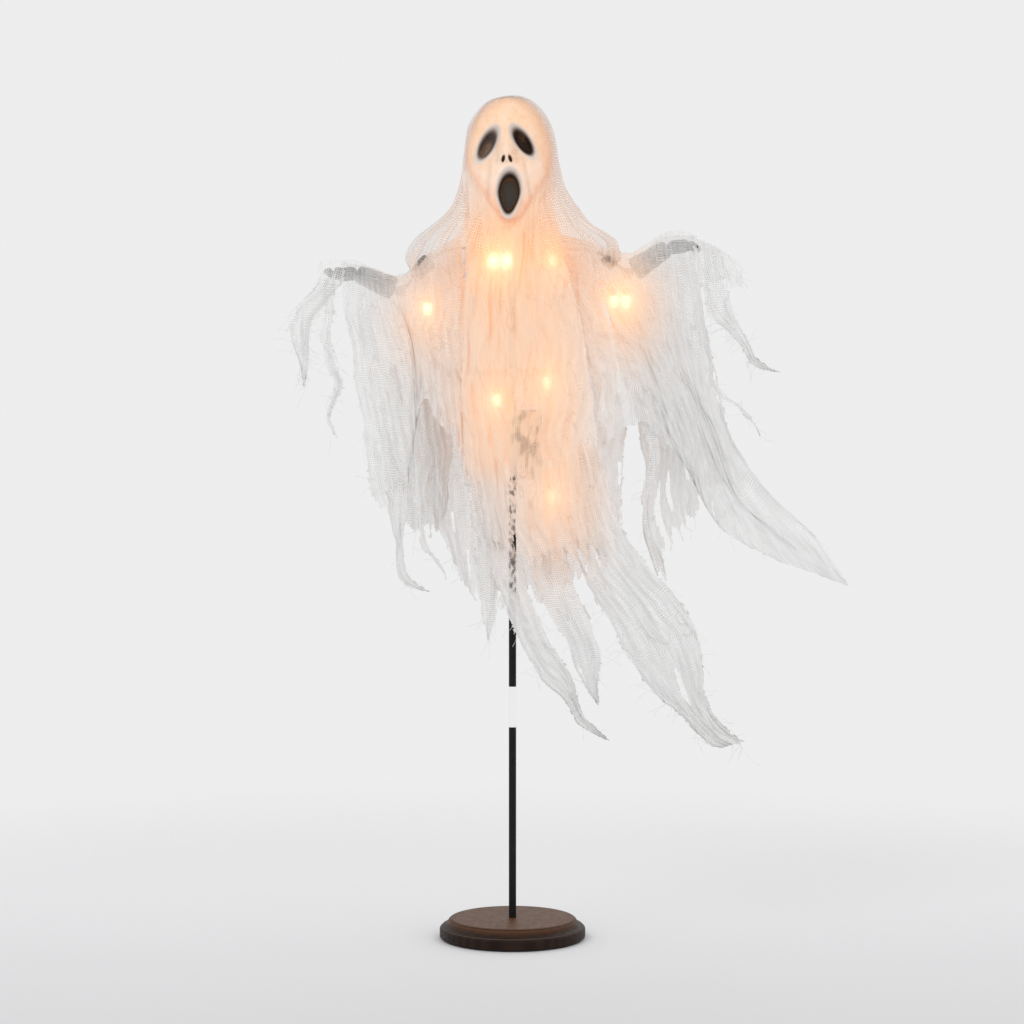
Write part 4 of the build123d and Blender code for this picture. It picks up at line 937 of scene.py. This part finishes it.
# Lines that the sheets hang along, left to right, each from its top to its foot. A place is a pixel of the
# photograph, across and down, and a depth in mm. A line that is draped over an arm starts with the arm there:
# across, down to its middle, and its radius in mm.
gown_front_lines = (
    ((464, 152, -14), (462, 175, -22), (464, 205, -31), (466, 250, -38), (462, 330, -36), (461, 400, -36),
     (465, 460, -36), (476, 520, -34), (484, 568, -32)),
    ((478, 178, -43), (485, 213, -49), (488, 240, -50), (487, 280, -51), (486, 360, -52), (486, 440, -52),
     (492, 510, -50), (500, 586, -47)),
    ((510, 219, -52), (511, 250, -54), (511, 290, -55), (513, 370, -57), (515, 450, -57), (522, 520, -54),
     (531, 598, -49)),
    ((541, 178, -43), (535, 213, -49), (535, 240, -50), (540, 280, -51), (546, 360, -53), (552, 440, -53),
     (560, 510, -50), (573, 596, -45)),
    ((554, 152, -14), (553, 175, -22), (554, 205, -31), (564, 250, -38), (584, 330, -36), (594, 400, -36),
     (600, 460, -36), (608, 530, -34), (622, 600, -30)),
)
gown_back_lines = (
    ((440, 250, 30), (430, 310, 36), (425, 370, 38), (424, 414, 38), (426, 460, 36), (434, 520, 34),
     (446, 552, 32)),
    ((470, 240, 36), (458, 330, 44), (446, 400, 44), (446, 470, 42), (462, 540, 38), (474, 585, 34),
     (484, 622, 32)),
    ((512, 236, 38), (510, 330, 48), (508, 420, 48), (512, 500, 44), (522, 580, 38), (528, 622, 32)),
    ((552, 240, 36), (566, 330, 44), (576, 420, 44), (580, 500, 40), (576, 560, 36), (572, 606, 30)),
    ((590, 250, 30), (604, 310, 36), (618, 380, 38), (626, 440, 36), (622, 500, 34), (630, 548, 32)),
)
left_sleeve_front_lines = (
    ((342, 274, 12), (342, 294, -14), (346, 330, -15), (354, 380, -15), (363, 435, -14), (369, 487, -12),
     (376, 515, -12)),
    ((352, 273, 14), (360, 298, -16), (370, 350, -18), (378, 420, -18), (383, 480, -15), (386, 512, -12)),
    ((370, 279, 13), (382, 310, -16), (394, 360, -20), (400, 430, -18), (400, 480, -16), (396, 512, -13)),
    ((386, 286, 14), (400, 316, -17), (412, 360, -21), (411, 430, -18), (409, 470, -16), (407, 502, -13)),
    ((400, 291, 16), (412, 326, -18), (424, 360, -22), (424, 392, -22), (418, 415, -21)),
    ((414, 280, 10), (430, 326, -20), (440, 370, -25), (440, 410, -25), (438, 436, -24)),
    ((430, 262, 9), (448, 320, -23), (458, 380, -28), (458, 430, -28), (455, 462, -27)),
    ((461, 245, 10), (469, 306, -30), (472, 380, -33), (474, 450, -34), (472, 500, -32)),
)
left_sleeve_back_lines = (
    ((344, 274, 11), (352, 300, 20), (366, 370, 24), (378, 440, 24), (386, 500, 22), (394, 540, 20),
     (398, 572, 18)),
    ((372, 280, 13), (388, 320, 24), (402, 400, 28), (408, 470, 26), (410, 520, 22), (412, 556, 18)),
    ((398, 291, 15), (414, 330, 26), (424, 400, 30), (428, 470, 28), (430, 520, 24), (436, 556, 20)),
    ((432, 262, 10), (444, 330, 32), (450, 390, 34), (452, 440, 32), (450, 490, 28), (446, 530, 24)),
)
left_long_strip_lines = (
    ((388, 470, -16), (393, 515, -14), (395, 550, -12), (398, 576, -9), (410, 588, -6), (430, 594, -3)),
    ((396, 470, -18), (401, 515, -16), (399, 548, -13), (403, 574, -10), (413, 586, -7), (431, 593, -3)),
    ((408, 470, -16), (408, 515, -14), (404, 548, -12), (408, 571, -9), (416, 583, -6), (432, 592, -3)),
)
left_thin_strip_lines = (
    ((410, 440, -14), (412, 480, -13), (417, 520, -12), (421, 545, -10), (431, 560, -8), (442, 573, -6),
     (446, 582, -4)),
    ((418, 440, -14), (419, 480, -14), (424, 518, -12), (427, 540, -10), (436, 556, -8), (445, 571, -6),
     (448, 580, -4)),
)
left_cuff_lines = (
    ((319, 273, 12), (313, 289, -8), (302, 300, -5), (293, 314, -6), (288, 328, -6), (292, 346, -6),
     (299, 366, -5), (301, 380, -4), (303, 396, -3)),
    ((331, 273, 14), (324, 291, -10), (313, 304, -7), (303, 320, -8), (300, 342, -8), (304, 366, -6),
     (305, 384, -4), (306, 396, -3)),
    ((346, 274, 14), (336, 292, -10), (324, 307, -6), (314, 322, -6), (311, 344, -6), (309, 368, -5),
     (307, 386, -4), (307, 397, -3)),
)
left_inner_strip_lines = (
    ((324, 280, -6), (323, 310, -8), (321, 340, -8), (324, 366, -7), (333, 382, -6), (330, 402, -5),
     (326, 418, -4), (331, 432, -3), (337, 441, -2)),
    ((335, 276, -6), (335, 308, -9), (333, 338, -9), (338, 366, -8), (345, 386, -6), (337, 402, -5),
     (331, 417, -4), (335, 430, -3), (339, 440, -2)),
)
right_sleeve_front_lines = (
    ((558, 246, 12), (571, 306, -30), (590, 370, -32), (598, 420, -32), (602, 460, -30)),
    ((588, 251, 10), (602, 320, -24), (614, 370, -28), (624, 410, -28), (628, 432, -26)),
    ((608, 258, 10), (624, 310, -20), (638, 360, -24), (646, 400, -23), (654, 436, -20)),
    ((630, 270, 18), (642, 300, -19), (656, 360, -21), (668, 410, -20), (682, 460, -16), (693, 476, -14)),
    ((648, 260, 18), (661, 292, -18), (676, 350, -20), (692, 410, -19), (708, 470, -15), (722, 524, -12),
     (735, 541, -10)),
    ((667, 250, 19), (679, 282, -17), (692, 340, -19), (706, 400, -18), (724, 450, -15), (744, 506, -10),
     (788, 539, -8), (822, 571, -4), (848, 589, -2)),
    ((683, 247, 17), (693, 282, -15), (702, 340, -16), (716, 400, -15), (738, 450, -12), (768, 496, -8),
     (800, 526, -6), (824, 558, -4), (849, 586, -2)),
    ((697, 248, 12), (701, 286, -10), (707, 340, -12), (715, 388, -11), (726, 436, -9), (745, 468, -8),
     (768, 498, -6), (806, 527, -5), (830, 555, -4), (851, 588, -2)),
)
right_sleeve_back_lines = (
    ((590, 251, 10), (608, 320, 30), (622, 380, 32), (638, 430, 30), (645, 470, 26), (643, 520, 22),
     (655, 566, 18), (668, 590, 16)),
    ((630, 272, 14), (642, 320, 28), (650, 380, 30), (656, 430, 28), (655, 470, 24), (650, 520, 20),
     (660, 562, 17), (670, 586, 15)),
    ((662, 253, 16), (676, 310, 26), (690, 370, 28), (698, 430, 24), (706, 480, 20), (716, 510, 18)),
    ((694, 248, 12), (704, 310, 22), (716, 370, 22), (730, 430, 20), (744, 480, 18), (752, 508, 16)),
)
right_cuff_lines = (
    ((692, 237, 0), (695, 260, -10), (701, 290, -9), (708, 316, -7), (728, 333, -5), (742, 350, -4),
     (749, 364, -3), (764, 371, -2), (780, 374, -2)),
    ((708, 244, 2), (714, 268, -7), (716, 292, -9), (722, 314, -7), (736, 332, -5), (747, 348, -4),
     (754, 360, -3), (767, 369, -2), (781, 373, -2)),
    ((722, 251, 2), (726, 270, -6), (730, 288, -8), (734, 312, -7), (743, 332, -5), (752, 346, -4),
     (758, 358, -3), (770, 367, -2), (782, 372, -2)),
)
right_panel_lines = (
    ((699, 239, 2), (701, 256, -4), (703, 272, -6), (706, 290, -6)),
    ((718, 248, 4), (722, 262, -4), (726, 276, -6), (729, 292, -6)),
    ((740, 264, 4), (743, 272, -2), (744, 282, -4), (745, 296, -4)),
)
right_edge_strip_lines = (
    ((700, 360, -14), (710, 386, -13), (722, 400, -11), (737, 409, -9), (750, 422, -7), (757, 434, -5),
     (760, 443, -4)),
    ((706, 352, -14), (716, 380, -13), (728, 396, -11), (742, 406, -9), (753, 419, -7), (760, 432, -5),
     (762, 442, -4)),
)
left_tail_lines = (
    ((464, 460, -32), (470, 520, -30), (476, 575, -26), (482, 615, -22), (486, 644, -18)),
    ((476, 462, -36), (486, 530, -34), (490, 580, -28), (490, 618, -23), (488, 645, -18)),
    ((490, 470, -34), (502, 535, -32), (500, 588, -27), (496, 622, -22), (489, 645, -18)),
)
centre_tail_lines = (
    ((466, 440, -40), (470, 500, -40), (480, 545, -38), (498, 590, -34), (518, 642, -28), (540, 680, -22),
     (562, 700, -17), (576, 724, -12), (594, 735, -9), (610, 744, -6)),
    ((484, 440, -44), (488, 500, -44), (500, 548, -42), (518, 596, -37), (536, 640, -30), (556, 676, -23),
     (570, 698, -17), (581, 720, -12), (597, 733, -9), (611, 743, -6)),
    ((504, 440, -42), (508, 500, -43), (516, 550, -41), (532, 600, -36), (550, 640, -29), (572, 674, -22),
     (578, 698, -16), (586, 716, -11), (600, 731, -8), (612, 742, -6)),
)
inner_tail_lines = (
    ((522, 470, -46), (523, 530, -42), (530, 575, -36), (546, 612, -30), (564, 640, -24), (572, 664, -19),
     (586, 690, -14), (597, 708, -10)),
    ((540, 470, -48), (545, 530, -44), (552, 575, -37), (564, 610, -30), (578, 640, -24), (588, 664, -18),
     (594, 688, -14), (599, 707, -10)),
    ((556, 470, -46), (564, 530, -42), (574, 580, -36), (590, 620, -29), (602, 652, -22), (600, 676, -17),
     (600, 692, -13), (601, 706, -10)),
)
great_tail_lines = (
    ((540, 440, -44), (556, 510, -40), (572, 552, -36), (588, 590, -30), (608, 622, -24), (634, 668, -18),
     (660, 700, -12), (684, 722, -8), (706, 744, -6), (724, 750, -4)),
    ((560, 440, -46), (576, 505, -43), (594, 550, -38), (612, 590, -31), (634, 626, -24), (656, 666, -18),
     (676, 696, -12), (698, 720, -8), (716, 740, -6), (734, 747, -4)),
    ((578, 430, -44), (594, 490, -42), (612, 540, -37), (634, 580, -30), (658, 620, -23), (678, 660, -17),
     (692, 692, -12), (708, 718, -8), (726, 736, -6), (740, 745, -4)),
    ((592, 420, -38), (606, 470, -36), (622, 525, -32), (645, 562, -27), (674, 592, -21), (694, 624, -16),
     (704, 660, -12), (706, 696, -9), (724, 726, -6), (746, 743, -4)),
)
pink_strip_lines = (
    ((622, 396, -20), (640, 424, -18), (648, 458, -14), (640, 500, -8), (646, 535, -4), (658, 560, 0),
     (666, 582, 2)),
    ((640, 396, -20), (654, 424, -18), (661, 458, -14), (650, 500, -8), (653, 533, -4), (664, 558, 0),
     (668, 580, 0)),
)

# Gown, sleeves, cuffs and tails
def build_gown():
    gauze("gown_front_gauze", gown_front_lines, ["gown_front"], folds=7, depth=6.5, lean=0.12,
          wobble=2.0, density=0.90, fade_top=0.05, fade_foot=0.09, fray=0.05, seed=1.0, threads=20,
          below=0.62)
    gauze("gown_back_gauze", gown_back_lines, ["gown_back"], folds=8, depth=6.0, lean=-0.05,
          density=0.38, fade_top=0.05, fray=0.03, slits=0.2, seed=4.0, threads=30)


def build_left_sleeve():
    gauze("left_sleeve_front_gauze", draped(left_sleeve_front_lines, -1), ["left_sleeve_front"],
          left_hinge, folds=7, depth=6.0, calm=0.17, density=0.68,
          sheer=(0.42, 0.85), fray=0.02, slits=0.06, seed=7.0, threads=30)
    gauze("left_sleeve_back_gauze", draped(left_sleeve_back_lines, 1), ["left_sleeve_back"],
          left_hinge, depth=5.5, calm=0.12, density=0.5, sheer=(0.4, 0.5), fray=0.03,
          slits=0.2, seed=9.0)
    gauze("left_sleeve_long_strip", left_long_strip_lines, (), folds=2,
          depth=3.0, density=0.75, fade_top=0.15, fray=0.002, seed=11.0, threads=10)
    gauze("left_sleeve_thin_strip", left_thin_strip_lines, (), folds=1.5,
          depth=2.0, wobble=1.5, fade_top=0.2, fray=0.002, seed=12.0, threads=8)


def build_left_cuff():
    gauze("left_cuff_gauze", draped(left_cuff_lines, -1), ["left_cuff"], left_hinge, folds=2.5,
          depth=4.0, calm=0.16, density=0.60, sheer=(0.55, 0.55), fray=0.01, slits=0.2, seed=14.0, threads=60,
          longest=0.035)
    gauze("left_cuff_inner_strip", left_inner_strip_lines, (), left_hinge, folds=2, depth=3.0,
          fray=0.004, seed=15.0, threads=22)


def build_right_sleeve():
    gauze("right_sleeve_front_gauze", draped(right_sleeve_front_lines, -1), ["right_sleeve_front"],
          right_hinge, folds=8, depth=6.5, calm=0.15,
          sheer=(0.95, 0.55), slits=0.08, seed=17.0, threads=40)
    gauze("right_sleeve_back_gauze", draped(right_sleeve_back_lines, 1), ["right_sleeve_back"],
          right_hinge, folds=6, depth=5.5, calm=0.10, density=0.5, sheer=(0.5, 0.45),
          fray=0.03, slits=0.25, seed=19.0)


def build_right_cuff():
    gauze("right_cuff_gauze", right_cuff_lines, ["right_cuff"], right_hinge, folds=3,
          depth=4.0, fray=0.003, slits=0.1, seed=21.0, threads=46)
    gauze("right_cuff_panel", right_panel_lines, (), right_hinge, folds=3, depth=2.5,
          density=0.5, seed=22.0, threads=40, longest=0.02)
    gauze("right_sleeve_edge_strip", right_edge_strip_lines, (), folds=1.5,
          depth=2.5, density=0.65, fade_top=0.2, fray=0.002, seed=23.0, threads=16)


def build_tails():
    gauze("left_tail_gauze", left_tail_lines, ["left_tail"], folds=2, depth=4.0, density=0.46,
          fade_top=0.25, fray=0.004, slits=0.15, seed=25.0, threads=22)
    gauze("centre_tail_gauze", centre_tail_lines, ["centre_tail"], folds=3, depth=4.5,
          density=0.80, fade_top=0.15, fray=0.003, seed=27.0, threads=30)
    gauze("inner_tail_gauze", inner_tail_lines, ["inner_tail"], folds=3, depth=4.5,
          density=0.70, fade_top=0.15, fray=0.004, slits=0.12, seed=29.0, threads=26)
    gauze("great_tail_gauze", great_tail_lines, ["great_tail"], depth=6.0, density=0.80,
          fade_top=0.12, fray=0.004, slits=0.05, seed=31.0, threads=90, longest=0.04)
    gauze("pink_strip_gauze", pink_strip_lines, (), folds=2, depth=3.0, density=0.52,
          fade_top=0.15, fray=0.004, seed=33.0, threads=14)


# Head
def head_profile(share):
    """Half width, half depth and forward lean of the head at a share of its height."""
    for low, high in zip(head_rings, head_rings[1:]):
        if low[0] <= share <= high[0]:
            t = (share - low[0]) / (high[0] - low[0])
            return tuple(mix(low[i], high[i], t) for i in (1, 2, 3))


def smooth_profile(share):
    """The profile averaged over a short stretch, so that no ring shows where its runs meet."""
    reach = 0.045 * min(1.0, (1 - share) * 6) * min(1.0, share * 6 + 0.2)
    samples = [head_profile(min(1.0, max(0.0, share + reach * k / 3))) for k in range(-3, 4)]
    return tuple(sum(s[i] for s in samples) / len(samples) for i in range(3))


def leaning(x, z, centre_x, centre_z, half_x, half_z, tilt):
    """How far out a place is from the middle of a leaning oval, 1 at its edge."""
    dx, dz = x - centre_x, z - centre_z
    c, s = cos(radians(tilt)), sin(radians(tilt))
    return sqrt(((dx * c - dz * s) / half_x) ** 2 + ((dx * s + dz * c) / half_z) ** 2)


def face_relief(x, z):
    """How far a place on the face stands out, and its shares of dark hollow (painted shade in the grooves and
    beside the nose), pale rim and hollow's core (painted glow in the eyes).
    """
    left_eye, right_eye = leaning(x, z, *left_eye_oval), leaning(x, z, *right_eye_oval)
    eye = min(left_eye, right_eye)
    narrow = 1.0 - 0.25 * smoothstep(0.806, 0.780, z)
    mouth = leaning(x, z, mouth_x, mouth_z, mouth_half_width * narrow, mouth_half_height, mouth_lean)
    dx = x - (mouth_x - face_slant * (z - 0.801))
    aside = abs(dx)
    nostril = min(leaning(dx, z, side * nostril_x, nostril_z, nostril_half_width, nostril_half_height,
                          side * nostril_lean) for side in (-1, 1))

    # Painted shade beside the nose; the groove below is both a dent and painted shade
    nose_side_shade = bell(aside, 0.0095, 0.0045) * smoothstep(0.880, 0.866, z) * smoothstep(0.826, 0.838, z)
    nose = bell(dx, 0, 0.0050) * smoothstep(0.882, 0.846, z) * smoothstep(0.829, 0.838, z)
    brow = bell(z + aside * 0.30, 0.876, 0.007) * smoothstep(0.036, 0.018, aside)
    cheek = bell(aside, 0.026, 0.012) * bell(z, 0.826, 0.013)
    chin = bell(dx, 0, 0.016) * bell(z, 0.7735, 0.006)
    groove = bell(aside - (0.842 - z) * 0.15, 0.0165, 0.0026)
    groove *= smoothstep(0.785, 0.805, z) * smoothstep(0.842, 0.830, z)
    bag = bell(eye, 1.42, 0.16) * smoothstep(0.862, 0.846, z)
    lip, lid = bell(mouth, 1.20, 0.13), bell(eye, 1.22, 0.13)

    out = 0.0060 * nose + 0.0024 * brow + 0.0024 * cheek + 0.0030 * chin + 0.0022 * lip + 0.0013 * lid
    out += 0.0010 * bag - 0.0017 * groove
    out -= 0.0125 * smoothstep(1.12, 0.40, eye) + 0.016 * smoothstep(1.10, 0.50, mouth)
    out -= 0.0040 * smoothstep(1.2, 0.6, nostril)
    # The dark share is the spray in the eyes, mouth and nostrils, and painted shade in the grooves beside the
    # mouth and along the nose's sides
    dark = max(smoothstep(1.12, 0.70, left_eye) * 0.90, smoothstep(1.12, 0.74, right_eye),
               smoothstep(1.08, 0.84, mouth), smoothstep(1.35, 0.8, nostril), 0.14 * groove, 0.16 * nose_side_shade)
    rim = max(smoothstep(1.42, 1.10, eye), smoothstep(1.34, 1.08, mouth))
    # Painted glow: the core's share in the eyes
    core = max(smoothstep(0.86, 0.50, mouth), 0.5 * smoothstep(1.1, 0.3, leaning(x, z, *left_glow_oval)),
               0.34 * smoothstep(1.1, 0.3, leaning(x, z, *right_glow_oval)))
    return out, dark, rim, core


def head_piece(name, first_turn, last_turn, columns, rows, node_name, with_face):
    """One shell of the head between two turns round it, counted in degrees from the middle of the face."""
    bm = bmesh.new()
    bmesh.ops.create_grid(bm, x_segments=columns, y_segments=rows, size=0.5)
    layers = [bm.verts.layers.float.new(label) for label in ("hollow", "rim", "core")]
    for vert in bm.verts:
        u, v = vert.co.x + 0.5, vert.co.y + 0.5
        turn = radians(mix(first_turn, last_turn, u))
        rise = sin(v * pi / 2) if v > 0.5 else v * sin(pi / 4) / 0.5
        width, depth, forward = smooth_profile(rise)
        x = head_middle_x + head_half_width * width * sin(turn)
        y = head_half_depth * (forward - depth * cos(turn))
        z = mix(head_bottom, head_top, rise)
        facing = smoothstep(-0.004, -0.024, y)
        out, dark, rim, core = face_relief(x, z) if with_face else (0.0, 0.0, 0.0, 0.0)
        vert.co = (x, y - out * facing, z)
        for layer, value in zip(layers, (dark * facing, rim * facing, core)):
            vert[layer] = value
    bmesh.ops.remove_doubles(bm, verts=bm.verts, dist=0.00001)
    bm.normal_update()
    bmesh.ops.recalc_face_normals(bm, faces=bm.faces)
    piece = new_piece(name, mesh_from(bm, name))
    wall = piece.modifiers.new("wall", "SOLIDIFY")
    wall.thickness = head_wall
    wall.offset = -1.0
    piece.data.materials.append(finishes["head_shell"])
    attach(piece, "figure")
    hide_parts(node_name)


def build_head():
    head_piece("face_shell", -head_seam_turn, head_seam_turn, 200, 190, "head_front", True)
    head_piece("skull_shell", head_seam_turn, 360 - head_seam_turn, 80, 90, "head_back", False)


# Foam arms and hands
def foam_piece(name, node_name, body):
    """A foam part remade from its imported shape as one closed, softly uneven skin."""
    bm = bmesh.new()
    bm.from_mesh(frame["nodes"][node_name].data)
    bmesh.ops.remove_doubles(bm, verts=bm.verts, dist=0.00002)
    bmesh.ops.recalc_face_normals(bm, faces=bm.faces)
    piece = new_piece(name, mesh_from(bm, name))
    remesh = piece.modifiers.new("skin", "REMESH")
    remesh.mode = "VOXEL"
    remesh.voxel_size = foam_cell
    bm = bmesh.new()
    bm.from_object(piece, bpy.context.evaluated_depsgraph_get())
    piece.modifiers.clear()
    all_axes = {"use_axis_x": True, "use_axis_y": True, "use_axis_z": True}
    for _ in range(foam_smoothings):
        bmesh.ops.smooth_vert(bm, verts=bm.verts, factor=0.5, **all_axes)
    bm.normal_update()
    for vert in bm.verts:
        lump = noise.noise(vert.co * 130.0) * 0.7 + noise.noise(vert.co * 420.0) * 0.5
        vert.co += vert.normal * (foam_fuller + foam_rough * lump)
    piece.data = mesh_from(bm, name)
    piece.data.materials.append(finishes["grey_foam"])
    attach(piece, body)
    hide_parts(node_name)


def build_foam():
    for side in ("left", "right"):
        foam_piece(f"{side}_hand_foam", f"{side}_hand", f"{side}_forearm")
        foam_piece(f"{side}_arm_foam", f"{side}_forearm_foam", f"{side}_forearm")
        foam_piece(f"{side}_shoulder_pad", f"{side}_shoulder_foam", "figure")


# Stage
def build_camera():
    camera = new_piece("camera", bpy.data.cameras.new("camera"))
    camera.data.lens = lens_mm
    camera.data.sensor_width = sensor_mm
    camera.location = ((photo_middle - rod_px) * metres_per_px, -camera_distance, camera_height)
    camera.rotation_euler = (pi / 2, 0.0, 0.0)
    bpy.context.scene.camera = camera


def build_world():
    """Even room light, with the backdrop's own tone where a ray sees it."""
    world = bpy.data.worlds.new("studio")
    bpy.context.scene.world = world
    world.use_nodes = True
    tree = world.node_tree
    ray = node(tree, "ShaderNodeLightPath")
    seen = maths(tree, "MAXIMUM", ray.outputs["Is Camera Ray"], ray.outputs["Is Glossy Ray"])
    seen = maths(tree, "MAXIMUM", seen, ray.outputs["Is Transmission Ray"])
    tree.links.new(blended(tree, seen, room_light, backdrop), tree.nodes["Background"].inputs["Color"])


def build_floor():
    """A pale floor, painted darker towards the front as shade, that fades into the backdrop."""
    finish = Finish("studio_floor")
    tree = finish.tree
    distance = node(tree, "ShaderNodeVectorMath", {0: finish.place}, operation="LENGTH").outputs["Value"]
    # Painted shade: darker towards the front
    tone = mapped(tree, axis_of(tree, finish.place, "Y"), -0.65, 0.45)
    finish.link("Base Color", blended(tree, tone, near_floor, far_floor))
    finish.link("Alpha", mapped(tree, distance, *floor_fade, 1.0, 0.0))
    finish.set(Roughness=0.9, Specular_IOR_Level=0.05)
    bm = bmesh.new()
    bmesh.ops.create_grid(bm, x_segments=floor_cells, y_segments=floor_cells, size=floor_half_size)
    floor = new_piece("studio_floor", mesh_from(bm, "studio_floor"))
    floor.data.materials.append(finish.material)


def build_lights():
    for name, place, size, watts in studio_lights:
        light = new_piece(name, bpy.data.lights.new(name, "AREA"))
        light.data.size = size
        light.data.energy = watts
        light.location = place
        light.rotation_euler = (lights_aim - Vector(place)).to_track_quat("-Z", "Y").to_euler()


def build_stage():
    scene = bpy.context.scene
    scene.view_settings.view_transform = "Standard"
    scene.cycles.transparent_max_bounces = sheets_seen_through
    build_camera()
    build_world()
    build_floor()
    build_lights()


build_stage()
build_head()
build_foam()
build_hood()
build_gown()
build_left_sleeve()
build_left_cuff()
build_right_sleeve()
build_right_cuff()
build_tails()
dress_nodes()
